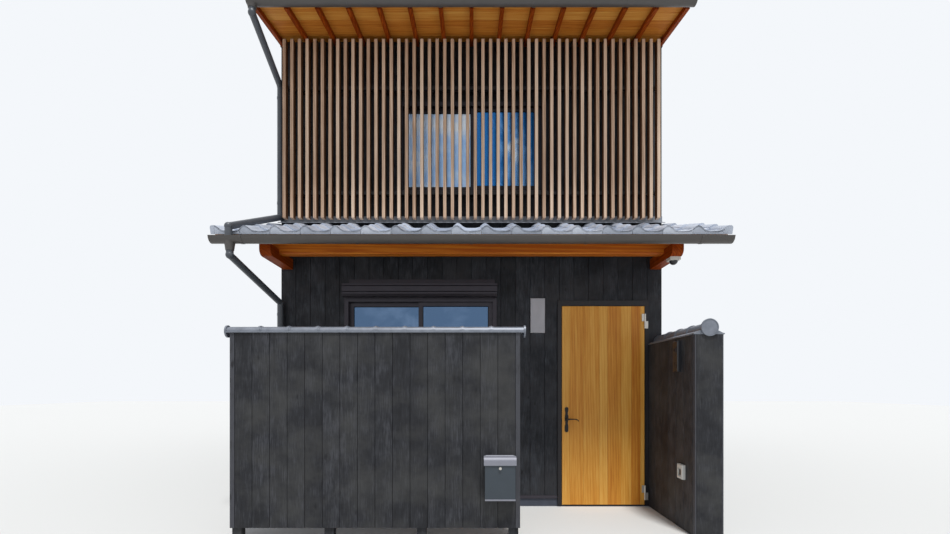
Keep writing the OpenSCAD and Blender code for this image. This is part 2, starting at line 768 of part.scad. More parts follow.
module eave_soffits() color("#b5772f") both_ends() {
    t = soffit_t - seat;
    across(-half_w, half_w, [[out_y(0), roof_z(0) + rafter_h], [out_y(0), roof_z(0) + rafter_h + t],
        [out_y(eave_out), roof_z(eave_out) + rafter_h + t], [out_y(eave_out), roof_z(eave_out) + rafter_h]]);
}

module eave_rafters() color("#b5772f") both_ends()
    for (i = [0 : rafter_bays]) {
        x = -half_w + i * rafter_step;
        across(x, x + rafter_w, [[out_y(0), roof_z(0)], [out_y(eave_out), roof_z(eave_out)],
            [out_y(eave_out), roof_z(eave_out) + rafter_h], [out_y(0), roof_z(0) + rafter_h]]);
    }

eave_funnel_h = 26;
eave_gutter_out = eave_out + gutter_r + 8;
eave_gutter_z = roof_z(eave_out) + 34;
module eave_gutters() color("#474749")
    for (turn = [0, 180]) rotate([0, 0, turn]) translate([0, out_y(eave_gutter_out), eave_gutter_z]) {
        trough(house_w + 40, socket_x, eave_funnel_h);
        brackets([for (i = [0 : 3 : rafter_bays]) -half_w + i * rafter_step + rafter_w / 2],
            eave_gutter_out - eave_out - gutter_r);
    }

// Pipes: from the eave gutter down to the tiles, over them to the pent gutter, from there to
// the ground, and one straight down at the rear
pipe_x = -half_w + 12;
pipe_out = pipe_r + 18;
pipe_end = 20;
elbow_r = pipe_r + 4;
socket_x = -half_w + 22;
crawl_x = -half_w - crawl_side;
upper_bend_z = eave_z - bend_drop;
lower_bend_z = pent_gutter_z - bend_drop;
// The front pipe drops into the pent gutter before the tiles' edge, which leans out by its height
drop_out = pent_out + pan_t * sin(pent_angle) + pipe_gap + pipe_r;

// From a gutter's funnel at x, which ends at z, down to a bend at the wall
function down_to_wall(x, out, z, bend_z) =
    [[x, out_y(out), z], [x, out_y(out), z - elbow_r - pipe_gap], [pipe_x, out_y(pipe_out), bend_z]];
to_ground = [[pipe_x, out_y(pipe_out), pipe_end]];

module downpipes() color("#5a5c60") {
    over_rolls = over_deck(pipe_out, crown + flashing_t + elbow_r + pipe_gap);
    from_eave = down_to_wall(socket_x, eave_gutter_out,
        eave_gutter_z - gutter_r - eave_funnel_h, upper_bend_z);
    from_pent = down_to_wall(crawl_x, pent_gutter_out,
        pent_gutter_z - gutter_r - pent_funnel_h, lower_bend_z);
    top_clamp_z = upper_bend_z - clamp_drop;
    pipe(concat(from_eave, [[pipe_x, out_y(pipe_out), over_rolls],
        [crawl_x, out_y(drop_out), over_deck(drop_out, pan_t + elbow_r + pipe_gap)],
        [crawl_x, out_y(drop_out), pent_gutter_z - pipe_gap]]));
    pipe(concat(from_pent, to_ground));
    for (z = [top_clamp_z, over_rolls + clamp_drop, lower_bend_z - clamp_drop, lower_bend_z / 2,
        2 * clamp_drop]) clamp(z);
    rotate([0, 0, 180]) {
        pipe(concat(from_eave, to_ground));
        for (k = [1 : 5]) clamp(k * top_clamp_z / 5);
    }
}

// A band round the pipe, held off the wall by a short bar
clamp_drop = 130;
module clamp(z) {
    band = [16, 22];
    translate([pipe_x, out_y(pipe_out), z]) cylinder(h = band.y, r = pipe_r + 2.5);
    block([pipe_x - band.x / 2, out_y(pipe_out), z + 5], [pipe_x + band.x / 2, out_y(0), z + band.y - 5]);
}

// Posts and rails of the screen wall
inner_t = screen_t - 2 * board_t;
post_step = (screen_l - 2 * board_t - post_w) / 3;
module screen_frame() color("#39393c") {
    for (i = [0 : 3])
        translate([screen_l_x + board_t + i * post_step, out_y(screen_mid + inner_t / 2), 0])
            cube([post_w, inner_t, screen_z]);
    for (z = [screen_gap + 30, screen_z - 60])
        block([screen_l_x + board_t, out_y(screen_mid + inner_t / 2), z],
            [screen_r_x - board_t, out_y(screen_mid - inner_t / 2), z + 60]);
}

module screen_boards() color("#39393c")
    difference() {
        block([screen_l_x, out_y(screen_out), screen_gap],
            [screen_r_x, out_y(screen_out - screen_t), screen_z]);
        block([screen_l_x + board_t, out_y(screen_out - board_t), screen_gap - eps],
            [screen_r_x - board_t, out_y(screen_out - screen_t + board_t), screen_z + eps]);
    }

// A row of half-round cap tiles along +X from the origin, strapped over each joint. Tiles of
// one length lie between two end tiles, which share the rest.
module cap_tiles(length, r) {
    inner = max(0, floor(length / cap_pitch) - 2);
    end = (length - inner * cap_pitch) / 2;
    m = r + strap_h + eps;
    rotate([0, 90, 0]) difference() {
        union() {
            cylinder(h = length, r = r);
            for (k = [0 : inner]) translate([0, 0, end + k * cap_pitch - strap_w / 2]) {
                cylinder(h = strap_w, r = r + strap_h / 2);
                translate([0, 0, strap_w / 3]) cylinder(h = strap_w / 3, r = r + strap_h);
            }
        }
        block([0, -m, -eps], [m, m, length + eps]);
    }
}
// The disc of an end tile, from the origin along +X, with a raised rim
disc_t = 14;
module end_disc(r) rotate([0, 90, 0]) difference() {
    rim = [7, 3];
    cylinder(h = disc_t, r = r);
    translate([0, 0, disc_t - rim.y]) cylinder(h = rim.y + eps, r = r - rim.x);
}

// Flat tiles that reach past the boarding, the round tiles on them, and a disc at each end
module screen_cap() color("#9ca0ac") {
    length = screen_l + 2 * (cap_over - disc_t);
    half_t = screen_t / 2 + flat_over;
    translate([screen_l_x + screen_l / 2, out_y(screen_mid), screen_z]) {
        block([-length / 2, -half_t, 0], [length / 2, half_t, flat_t]);
        translate([-length / 2, 0, flat_t]) cap_tiles(length, screen_tile_r);
        for (m = [0, 1]) mirror([m, 0, 0])
            translate([length / 2, 0, flat_t + 4]) end_disc(screen_tile_r + 8);
    }
}

module return_wall() color("#39393c")
    block([return_x, out_y(return_out), 0], [return_x + return_t, out_y(0), return_z]);

// Sloped bedding with the round tiles on it, flat tiles that reach past the boarding from the
// door frame on, and the end disc
module return_wall_cap() color("#9ca0ac") {
    top = return_tile_r + 4;
    half_t = return_t / 2;
    flat_half = half_t + flat_over;
    translate([return_mid, out_y(0), return_z]) {
        rotate([90, 0, 0]) linear_extrude(return_out) polygon([[-half_t, 0], [half_t, 0],
            [half_t, flat_t], [top, bed_h], [-top, bed_h], [-half_t, flat_t]]);
        block([-flat_half, -return_out, 0], [flat_half, -frame_out - return_gap, flat_t]);
        rotate([0, 0, -90]) {
            translate([0, 0, bed_h]) cap_tiles(return_out, return_tile_r);
            translate([return_out, 0, bed_h + 22]) end_disc(return_tile_r + 8);
        }
    }
}

// An open-topped box with a hinge rod held by an ear at each end of its back
box_x = screen_r_x - box_in - box_w;
box_rim = box_z + box_h - 14;
rim_fall = 24;
lid_top = box_rim + lid_gap;
tube_r = rod_r + 3;
ear_t = 6;
hinge_axis_out = screen_out + tube_r + 6;
hinge_axis_z = lid_top + box_t / 2;
// A cylinder on the lid's axis
module on_hinge(x, length, r)
    translate([x, out_y(hinge_axis_out), hinge_axis_z]) rotate([0, 90, 0]) cylinder(h = length, r = r);

module letter_box() color("#4a525a") {
    difference() {
        block([box_x, out_y(screen_out + box_d), box_z], [box_x + box_w, out_y(screen_out), box_rim]);
        block([box_x + box_t, out_y(screen_out + box_d - box_t), box_z + box_t],
            [box_x + box_w - box_t, out_y(screen_out + box_t), box_rim + eps]);
        // The rim falls to the front, under the lid's rounded edge
        across(box_x - eps, box_x + box_w + eps, [[out_y(screen_out + box_d + eps), box_rim - rim_fall],
            [out_y(screen_out + box_d / 2), box_rim], [out_y(screen_out + box_d + eps), box_rim + eps]]);
    }
    for (x = [box_x, box_x + box_w - ear_t]) {
        on_hinge(x, ear_t, tube_r);
        block([x, out_y(hinge_axis_out + tube_r), box_rim - 20],
            [x + ear_t, out_y(screen_out), hinge_axis_z - 2]);
    }
    on_hinge(box_x, box_w, rod_r);
    // The knob of the front's latch, and the lip along the front's lower edge
    knob = [11, 14];
    lip = [5, 12];
    translate([box_x + box_w / 2, out_y(screen_out + box_d), box_z + box_h - flap_h - 2 * knob[0]])
        rotate([90, 0, 0]) cylinder(h = knob[1], r1 = knob[0] - 4, r2 = knob[0]);
    block([box_x, out_y(screen_out + box_d + lip[0]), box_z],
        [box_x + box_w, out_y(screen_out + box_d), box_z + lip[1]]);
}

// A plate from a front face down to zb, over a rounded edge of radius r, and back to yb
function lid_outline(yf, zb, yb, zt, r) = concat([[yf, zb]],
    [for (a = [180 : -10 : 90]) [yf + r + r * cos(a), zt - r + r * sin(a)]], [[yb, zt], [yb, zb]]);

// The lid's tube turns on the rod between the ears
module letter_box_lid() color("#a9a9b0") {
    front = screen_out + box_d + lid_gap;
    back = hinge_axis_out + tube_r + 2;
    x0 = box_x - lid_gap - box_t;
    x1 = box_x + box_w + lid_gap + box_t;
    tube_x0 = box_x + ear_t + 2;
    tube_x1 = box_x + box_w - ear_t - 2;
    flap_z = box_z + box_h - flap_h;
    difference() {
        union() {
            across(x0, x1, lid_outline(out_y(front + box_t), flap_z, out_y(back), lid_top + box_t, lid_r));
            block([tube_x0, out_y(back + eps), lid_top], [tube_x1, out_y(hinge_axis_out), lid_top + box_t]);
            on_hinge(tube_x0, tube_x1 - tube_x0, tube_r);
        }
        across(x0 + box_t, x1 - box_t,
            lid_outline(out_y(front), flap_z - eps, out_y(back) + eps, lid_top, lid_r - box_t));
        on_hinge(tube_x0 - eps, tube_x1 - tube_x0 + 2 * eps, rod_r + rod_gap);
    }
}

// A plate of width w, height h and thickness t before the X-Z plane, with sloped edges
module sloped_plate(w, h, t, slope) hull() {
    block([0, -t + slope, 0], [w, 0, h]);
    block([slope, -t, slope], [w - slope, 0, h - slope]);
}
// Fittings on the return wall's inner face, with their width along the wall
module on_return(out, z) translate([return_x, out_y(out), z]) rotate([0, 0, -90]) children();

module nameplate() color("#c8c9cc")
    translate([opening_l - plate_in - plate_w, out_y(0), plate_z]) sloped_plate(plate_w, plate_h, frame_out, 4);

// The intercom has a square lens window and rows of slots for the speaker
module intercom() color("#2b2c30") on_return(intercom_out, intercom_z)
    difference() {
        lens = 48;
        union() {
            sloped_plate(intercom_w, intercom_h, intercom_t - 6, 8);
            translate([(intercom_w - lens) / 2, 0, 0.62 * intercom_h])
                block([0, -intercom_t, 0], [lens, 0, lens]);
        }
        for (k = [0 : 4]) translate([intercom_w / 2 - 20, -intercom_t, 0.18 * intercom_h + k * 9])
            cube([40, 10, 4]);
    }

// The outlet's cover is a hood over a recess that is open below
module outlet_cover() color("#d9d9d6") on_return(outlet_out, outlet_z)
    difference() {
        rim = 24;
        sloped_plate(outlet_w, outlet_h, outlet_t, 6);
        block([rim, -outlet_t - eps, rim], [outlet_w - rim, -outlet_t + 12, outlet_h - rim - 10]);
    }

// The sensor light hangs under the right arm: a flat base with a round dome
module sensor_light() color("#e4e2dd") {
    base = [96, 96, 30];
    out = arm_l - 55 - base.y;
    translate([arm_x, out_y(out + base.y / 2), arm_z - base.z]) {
        block([-base.x / 2, -base.y / 2, 0], [base.x / 2, base.y / 2, base.z]);
        difference() {
            sphere(r = dome_r);
            block([-dome_r - eps, -dome_r - eps, eps], [dome_r + eps, dome_r + eps, dome_r + eps]);
        }
    }
}

foundation();
front_wall_left();
front_wall_right();
front_wall_over_door();
upper_front_wall();
left_party_wall();
right_party_wall();
rear_wall();
upper_floor();
door_frame();
door_leaf();
door_plate();
door_lever();
hinge_pins();
hinge_knuckles();
lower_window_frame();
lower_window_glass();
shutter_box();
upper_window_frame();
upper_window_glass();
rear_window_frames();
rear_window_glass();
lattice();
pent_arms();
pent_beam();
pent_rafters();
pent_deck();
pent_tiles();
pent_flashing();
pent_gutter();
roof_front_slope();
roof_rear_slope();
ridge_cap();
eave_soffits();
eave_rafters();
eave_gutters();
downpipes();
screen_frame();
screen_boards();
screen_cap();
return_wall();
return_wall_cap();
letter_box();
letter_box_lid();
nameplate();
intercom();
outlet_cover();
sensor_light();
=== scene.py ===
# %% [markdown]
# # A townhouse in charred cedar and smoked tile
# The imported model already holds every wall, beam, pane and joint at its real place. This
# lesson dresses it. Surfaces that are boards, planks, slats or tiles on the real house get
# them as real meshes, and every surface gets a procedural material that starts from what the
# real one is made of and how it was made.

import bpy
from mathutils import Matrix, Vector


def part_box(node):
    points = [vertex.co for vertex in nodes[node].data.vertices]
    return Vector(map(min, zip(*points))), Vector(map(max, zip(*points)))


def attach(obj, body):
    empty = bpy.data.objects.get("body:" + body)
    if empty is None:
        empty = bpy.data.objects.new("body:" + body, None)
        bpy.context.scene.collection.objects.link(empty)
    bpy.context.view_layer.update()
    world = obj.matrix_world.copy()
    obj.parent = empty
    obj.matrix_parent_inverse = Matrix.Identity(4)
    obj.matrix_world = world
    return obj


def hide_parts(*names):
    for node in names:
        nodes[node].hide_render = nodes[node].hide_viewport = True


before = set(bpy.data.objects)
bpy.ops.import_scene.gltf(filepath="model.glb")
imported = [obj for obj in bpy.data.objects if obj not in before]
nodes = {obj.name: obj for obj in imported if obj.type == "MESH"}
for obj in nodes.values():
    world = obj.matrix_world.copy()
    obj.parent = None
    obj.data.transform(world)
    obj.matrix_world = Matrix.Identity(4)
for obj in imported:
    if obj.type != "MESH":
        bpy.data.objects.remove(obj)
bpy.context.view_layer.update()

import math
import random

import bmesh
import bpy
from mathutils import Vector

scene = bpy.context.scene
MM = 0.001
print("the frame holds", len(nodes), "nodes")

# %% [markdown]
# ## Camera
# The photograph was taken with a very wide lens held level, and its upper part was kept. A
# camera that tilts up would give the same view with leaning edges. A level camera with a
# vertical shift keeps upright edges upright, as they are in the photograph.

# %% Set up the camera
PHOTO_W, PHOTO_H = 950, 534
FOCAL_PX = 475
AIM_PX = (471.5, 386)
SENSOR_MM = 36

camera_data = bpy.data.cameras.new("photo_camera")
camera = bpy.data.objects.new("photo_camera", camera_data)
scene.collection.objects.link(camera)
camera.location = (0, -8.87, 1.246)
camera.rotation_euler = (math.radians(90), 0, 0)
camera_data.sensor_width = SENSOR_MM
camera_data.lens = FOCAL_PX / PHOTO_W * SENSOR_MM
camera_data.shift_x = (PHOTO_W / 2 - AIM_PX[0]) / PHOTO_W
camera_data.shift_y = (AIM_PX[1] - PHOTO_H / 2) / PHOTO_W
camera_data.clip_end = 200
scene.camera = camera
scene.view_settings.view_transform = "Standard"
print("lens", camera_data.lens, "mm, shift", camera_data.shift_x, camera_data.shift_y)

# %% [markdown]
# ## Colour
# Colours are written as the sRGB hex values that a paint chart or a picture gives. Blender
# mixes light in linear values, so one function turns the first into the second.

# %% Turn hex colours to linear
def linear(hex_colour):
    """An sRGB hex colour such as #c79a4e as linear red, green, blue and alpha."""
    parts = [int(hex_colour[i:i + 2], 16) / 255 for i in (1, 3, 5)]
    return [p / 12.92 if p <= 0.04045 else ((p + 0.055) / 1.055) ** 2.4 for p in parts] + [1.0]


print("middle grey in linear light:", linear("#808080")[0])

# %% [markdown]
# ## One function for every shader node
# A material is a small graph. Three lines for each node would hide its idea, so one function
# adds a node, sets its settings, its unlinked inputs and the stops of a colour ramp, and links
# the rest. Sockets that share a name, as in Mix and Math nodes, are given by their number.

# %% Add a node
def join(tree, node, links):
    """Links outputs of other nodes to a node's inputs."""
    for key, source in links.items():
        tree.links.new(source, node.inputs[key])


def add(tree, kind, settings=None, links=None, stops=()):
    """Adds a node, sets its properties and inputs, links other inputs, and returns it. stops
    are the (place, hex colour) pairs of a colour ramp."""
    made = tree.nodes.new(kind)
    for key, value in (settings or {}).items():
        if isinstance(key, int) or key in made.inputs:
            made.inputs[key].default_value = value
        else:
            setattr(made, key, value)
    for _ in stops[2:]:
        made.color_ramp.elements.new(0.5)
    for i, (place, colour) in enumerate(stops):
        made.color_ramp.elements[i].position = place
        made.color_ramp.elements[i].color = linear(colour)
    join(tree, made, links or {})
    return made


print("node helpers: join, add")

# %% [markdown]
# ## Materials and the size of their patterns
# Every pattern is laid out in millimetres of the real house, so that grain and grit come out at
# the right scale. Its coordinates are the object's, because a pattern that follows the camera
# would slide. A number that holds for a whole surface is set on the shader's own socket.

# %% Start a material, and measure its pattern in millimetres
TONE_SHIFT_M = (31.7, 17.3, 53.9)


def start_material(name, **surface):
    """A new material with its Principled shader, whose sockets take the given values."""
    material = bpy.data.materials.new(name)
    material.use_nodes = True
    shader = material.node_tree.nodes["Principled BSDF"]
    for socket, value in surface.items():
        shader.inputs[socket.replace("_", " ")].default_value = value
    return material, material.node_tree, shader


def object_mm(tree, x_mm, y_mm, z_mm, tone=None):
    """Object coordinates in which one unit is the given millimetres along each axis. A tone
    moves the pattern far away, so that each board or tile shows another part of it."""
    spot = add(tree, "ShaderNodeTexCoord").outputs["Object"]
    if tone:
        spot = add(tree, "ShaderNodeVectorMath", {"operation": "MULTIPLY_ADD", 1: TONE_SHIFT_M},
                   {0: tone, 2: spot}).outputs[0]
    scale = (1000 / x_mm, 1000 / y_mm, 1000 / z_mm)
    return add(tree, "ShaderNodeMapping", {"Scale": scale}, {"Vector": spot}).outputs[0]


print("each tone moves a pattern by up to", TONE_SHIFT_M, "m")

# %% [markdown]
# ## Floor
# A plain pale floor carries the house and takes its shadow. It is one large face, a millimetre
# below the house, so that no two faces lie in one plane.

# %% Floor
FLOOR_M = 60
FLOOR_DROP = 1 * MM
half = FLOOR_M / 2
floor_mesh = bpy.data.meshes.new("floor")
floor_mesh.from_pydata([(-half, -half, 0), (half, -half, 0), (half, half, 0), (-half, half, 0)],
                       [], [(0, 1, 2, 3)])
floor = bpy.data.objects.new("floor", floor_mesh)
scene.collection.objects.link(floor)
floor.location.z = -FLOOR_DROP
floor_paint, _, _ = start_material("pale_floor", Base_Color=linear("#d2d2cf"), Roughness=0.9)
floor_mesh.materials.append(floor_paint)
print("floor", FLOOR_M, "m wide")

# %% [markdown]
# ## Light and background
# The sky is an even soft light, and one broad lamp from the upper right stands for the high sun
# of the photograph. The background is white only where the camera, or a reflection, looks at
# it, so that it adds no light.

# %% Lamp and world
SKY_STRENGTH = 0.62
SUN_STRENGTH = 2.9
SUN_SPREAD_DEG = 9
SUN_FROM = Vector((0.10, -0.40, 1.0))

sun_data = bpy.data.lights.new("high_sun", "SUN")
sun_data.energy = SUN_STRENGTH
sun_data.angle = math.radians(SUN_SPREAD_DEG)
sun = bpy.data.objects.new("high_sun", sun_data)
scene.collection.objects.link(sun)
sun.rotation_euler = SUN_FROM.to_track_quat("Z", "Y").to_euler()

world = bpy.data.worlds.new("soft_sky")
scene.world = world
world.use_nodes = True
sky = world.node_tree
sky.nodes.clear()
path = add(sky, "ShaderNodeLightPath")
seen = path.outputs["Is Camera Ray"]
for ray in ("Is Glossy Ray", "Is Transmission Ray"):
    seen = add(sky, "ShaderNodeMath", {"operation": "MAXIMUM"},
               {0: seen, 1: path.outputs[ray]}).outputs[0]
light = add(sky, "ShaderNodeBackground", {"Color": linear("#f2f6ff"), "Strength": SKY_STRENGTH})
backdrop = add(sky, "ShaderNodeBackground", {"Color": linear("#f4f7fb"), "Strength": 1.0})
both = add(sky, "ShaderNodeMixShader", links={0: seen, 1: light.outputs[0], 2: backdrop.outputs[0]})
add(sky, "ShaderNodeOutputWorld", links={"Surface": both.outputs[0]})
print("sky", SKY_STRENGTH, "sun", SUN_STRENGTH)

# %% [markdown]
# ## Wood
# Every timber here is Japanese cedar, sawn flat and planed. Its growth rings show as soft bands
# a centimetre or two apart, drawn out along the board, and between them run fine fibres. A
# picture of wood would repeat, so the grain is mixed from a wave and two noises. Each board
# carries a number, its tone, which moves the pattern and shifts its shade. The fibres are drawn
# coarser than the real ones, which are under a millimetre, so that they show from a distance.

# %% Wood, with its grain along an axis
RING_STRETCH, FIBRE_STRETCH, BLOTCH_STRETCH = 45, 60, 14
BLOTCH_RINGS, BLOTCH_SHARE = 3, 0.45
ROUGH_SPREAD = 0.10


def wood(name, dark, mid, pale, along, ring_mm=16, fibre_mm=3.0, roughness=0.6, relief_mm=0.3,
         shade=0.5, ring_share=0.3, shaded_sides=None, gloss=0.5):
    """Cedar with its grain along X, Y or Z. shade says how much boards differ in tone, shaded_sides is
    the darker colour of faces that look sideways, partly unbleached wood and partly painted shade,
    and gloss the level of the mirrored light, which is low on raw wood."""
    material, tree, shader = start_material(name, Roughness=roughness, IOR=1.5,
                                            Specular_IOR_Level=gloss)
    tone = add(tree, "ShaderNodeAttribute", {"attribute_name": "tone"}).outputs["Fac"]

    def spread(size_mm, stretch):
        sizes = [size_mm] * 3
        sizes["XYZ".index(along)] *= stretch
        return object_mm(tree, *sizes, tone)

    ring = add(tree, "ShaderNodeTexWave",
               {"bands_direction": "DIAGONAL", "Scale": 0.32, "Distortion": 6.0, "Detail": 2.0,
                "Detail Scale": 1.2}, {"Vector": spread(ring_mm, RING_STRETCH)}).outputs["Fac"]
    fibre, blotch = (
        add(tree, "ShaderNodeTexNoise", {"Scale": 1.0, "Detail": 3.0, "Roughness": 0.6},
            {"Vector": spread(size_mm, stretch)}).outputs["Fac"]
        for size_mm, stretch in ((fibre_mm, FIBRE_STRETCH), (ring_mm * BLOTCH_RINGS, BLOTCH_STRETCH)))
    grain = add(tree, "ShaderNodeMix", {"data_type": "FLOAT", 0: ring_share},
                {2: fibre, 3: ring}).outputs[0]
    grain = add(tree, "ShaderNodeMix", {"data_type": "FLOAT", 0: BLOTCH_SHARE},
                {2: grain, 3: blotch}).outputs[0]
    lift = add(tree, "ShaderNodeMath", {"operation": "MULTIPLY_ADD", 1: shade, 2: -shade / 2},
               {0: tone}).outputs[0]
    place = add(tree, "ShaderNodeMath", {"operation": "ADD"}, {0: grain, 1: lift}).outputs[0]
    colour = add(tree, "ShaderNodeValToRGB", links={"Fac": place},
                 stops=[(0.28, dark), (0.5, mid), (0.74, pale)]).outputs["Color"]
    # Faces that look sideways take the darker colour: painted shade between neighbours, over the brown of
    # unbleached wood.
    if shaded_sides:
        normal = add(tree, "ShaderNodeNewGeometry").outputs["Normal"]
        across_x = add(tree, "ShaderNodeSeparateXYZ", links={0: normal}).outputs[0]
        sideways_shade_mask = add(tree, "ShaderNodeMath", {"operation": "ABSOLUTE"}, {0: across_x}).outputs[0]
        colour = add(tree, "ShaderNodeMix", {"data_type": "RGBA", 7: linear(shaded_sides)},
                     {0: sideways_shade_mask, 6: colour}).outputs[2]
    rough = add(tree, "ShaderNodeMapRange", {"To Min": roughness + ROUGH_SPREAD,
                                             "To Max": roughness - ROUGH_SPREAD},
                {"Value": fibre}).outputs[0]
    raised = add(tree, "ShaderNodeBump", {"Distance": relief_mm * MM}, {"Height": grain}).outputs[0]
    join(tree, shader, {"Base Color": colour, "Roughness": rough, "Normal": raised})
    return material


print("grain is drawn out", RING_STRETCH, "to", FIBRE_STRETCH, "times along a board")

# %% [markdown]
# ## The cedars of this house
# The door is oiled: honey coloured, with a soft gloss. The lattice has been bleached by sun and
# rain on its faces, and its sides are drawn a darker brown, partly unbleached wood and partly
# painted shade between the slats. Soffits, rafters and beam lie in the shade under the roofs and
# keep a warm orange brown. The door frame is stained nearly black.

# %% Cedar finishes
door_cedar = wood("oiled_door_cedar", "#b5690f", "#d18e2e", "#e2ab4f", "Z", ring_mm=15, roughness=0.48,
                  relief_mm=0.2, shade=0.36, ring_share=0.18, gloss=0.4)
# The slats' sideways faces get a darker brown, which is partly painted shade.
lattice_cedar = wood("weathered_cedar", "#a3836a", "#cbad93", "#e4cbb3", "Z", ring_mm=11, fibre_mm=2.5,
                     roughness=0.68, shade=0.3, shaded_sides="#6f4b30", gloss=0.3)
soffit_cedar = wood("soffit_cedar", "#a2560f", "#c27a2a", "#d29a48", "X", ring_mm=15, relief_mm=0.2,
                    shade=0.24, gloss=0.25)
rafter_cedar = wood("rafter_cedar", "#752b00", "#984305", "#b2651c", "Y", ring_mm=14, relief_mm=0.2,
                    shade=0.3, gloss=0.12)
beam_cedar = wood("beam_cedar", "#a9540c", "#cb791c", "#df9c48", "X", ring_mm=18, roughness=0.5,
                  relief_mm=0.2, shade=0.3, gloss=0.35)
floor_cedar = wood("floor_cedar", "#8d6a42", "#ab865a", "#c8a777", "Y", ring_mm=16)
frame_stain = wood("dark_stained_frame", "#19171a", "#262427", "#353337", "Z", roughness=0.5, gloss=0.4)
print("woods:", [m.name for m in bpy.data.materials if m.name.endswith("cedar")])

# %% [markdown]
# ## Charred cedar
# The cladding is cedar burnt black on its face, brushed and left to weather. It is nearly black
# and matt. Soot, rain and dust leave soft patches that are larger than a board's width, the
# brushed fibres show as short streaks, and knots and small cracks stay darker. An even grain
# like that of the planed cedar would look painted, so this one is built from noises of three
# sizes. The boards of the garden walls stand in the open and are greyer.

# %% Charred cedar
PATCH_MM, STREAK_MM, DUST_MM, KNOT_MM = (90, 170), (7, 110), (420, 300), (95, 230)
CHAR_ROUGHNESS, CHAR_RELIEF_MM = 0.6, 0.9


def char(name, dark, mid, pale, dusty, gloss):
    """Burnt and brushed cedar. dusty is the colour of its dusty patches, and gloss the level of
    the mirrored light."""
    material, tree, shader = start_material(name, Roughness=CHAR_ROUGHNESS, IOR=1.5,
                                            Specular_IOR_Level=gloss)
    tone = add(tree, "ShaderNodeAttribute", {"attribute_name": "tone"}).outputs["Fac"]

    def spots(kind, size, settings, shift, output):
        across_mm, up_mm = size
        return add(tree, kind, {"Scale": 1.0, **settings},
                   {"Vector": object_mm(tree, across_mm, across_mm, up_mm, shift)}).outputs[output]

    patch, fibre, dust = (
        spots("ShaderNodeTexNoise", size, {"Detail": detail, "Roughness": 0.62}, shift, "Fac")
        for size, detail, shift in ((PATCH_MM, 5.0, tone), (STREAK_MM, 3.0, tone), (DUST_MM, 4.0, None)))
    grain = add(tree, "ShaderNodeMix", {"data_type": "FLOAT", 0: 0.5}, {2: patch, 3: fibre}).outputs[0]
    place = add(tree, "ShaderNodeMath", {"operation": "MULTIPLY_ADD", 1: 0.10},
                {0: tone, 2: grain}).outputs[0]
    colour = add(tree, "ShaderNodeValToRGB", links={"Fac": place},
                 stops=[(0.37, dark), (0.55, mid), (0.74, pale)]).outputs["Color"]
    settled = add(tree, "ShaderNodeMapRange",
                  {"From Min": 0.42, "From Max": 0.66, "To Min": 0.0, "To Max": 0.65},
                  {"Value": dust}).outputs[0]
    colour = add(tree, "ShaderNodeMix", {"data_type": "RGBA", "blend_type": "LIGHTEN", 7: linear(dusty)},
                 {0: settled, 6: colour}).outputs[2]
    near = spots("ShaderNodeTexVoronoi", KNOT_MM, {}, tone, "Distance")
    ragged = add(tree, "ShaderNodeMath", {"operation": "MULTIPLY_ADD", 1: 0.35},
                 {0: patch, 2: near}).outputs[0]
    knot = add(tree, "ShaderNodeMapRange",
               {"From Min": 0.22, "From Max": 0.30, "To Min": 0.75, "To Max": 0.0},
               {"Value": ragged}).outputs[0]
    colour = add(tree, "ShaderNodeMix", {"data_type": "RGBA", 7: linear(dark)},
                 {0: knot, 6: colour}).outputs[2]
    rough = add(tree, "ShaderNodeMapRange", {"To Min": 0.72, "To Max": 0.48},
                {"Value": patch}).outputs[0]
    raised = add(tree, "ShaderNodeBump", {"Distance": CHAR_RELIEF_MM * MM}, {"Height": grain}).outputs[0]
    join(tree, shader, {"Base Color": colour, "Roughness": rough, "Normal": raised})
    return material


charred_cedar = char("charred_cedar", "#121215", "#222429", "#404349", "#37373a", 0.25)
greyed_char = char("greyed_charred_cedar", "#17171a", "#242529", "#434449", "#40403f", 0.28)
print("charred cedar:", charred_cedar.name, greyed_char.name)

# %% [markdown]
# ## Smoked tile and concrete
# Smoked tiles are fired clay with a film of carbon, which gives a silvery satin that is part
# metal and part ceramic. Every tile comes out of the kiln a little lighter or darker. The tiles of
# the pent roof are drawn much paler than those of the wall caps, though they are the same clay: the
# extra paleness is painted sunlight and sky reflection. Concrete is cast and trowelled. At the foot
# of the walls it is damp, dark and a little porous.

# %% Tile and concrete
def tile_clay(name, dark, mid, pale, silver):
    """Smoked clay with fine grit. silver is how far the carbon film mirrors as a metal does."""
    material, tree, shader = start_material(name, IOR=1.55, Metallic=silver)
    tone = add(tree, "ShaderNodeAttribute", {"attribute_name": "tone"}).outputs["Fac"]
    cloud = add(tree, "ShaderNodeTexNoise", {"Scale": 1.0, "Detail": 4.0, "Roughness": 0.6},
                {"Vector": object_mm(tree, 70, 70, 70, tone)}).outputs["Fac"]
    grit = add(tree, "ShaderNodeTexNoise", {"Scale": 1.0, "Detail": 2.0},
               {"Vector": object_mm(tree, 4, 4, 4)}).outputs["Fac"]
    place = add(tree, "ShaderNodeMix", {"data_type": "FLOAT", 0: 0.45}, {2: cloud, 3: tone}).outputs[0]
    colour = add(tree, "ShaderNodeValToRGB", links={"Fac": place},
                 stops=[(0.2, dark), (0.5, mid), (0.8, pale)]).outputs["Color"]
    rough = add(tree, "ShaderNodeMapRange", {"To Min": 0.34, "To Max": 0.52},
                {"Value": cloud}).outputs[0]
    raised = add(tree, "ShaderNodeBump", {"Distance": 0.25 * MM}, {"Height": grit}).outputs[0]
    join(tree, shader, {"Base Color": colour, "Roughness": rough, "Normal": raised})
    return material


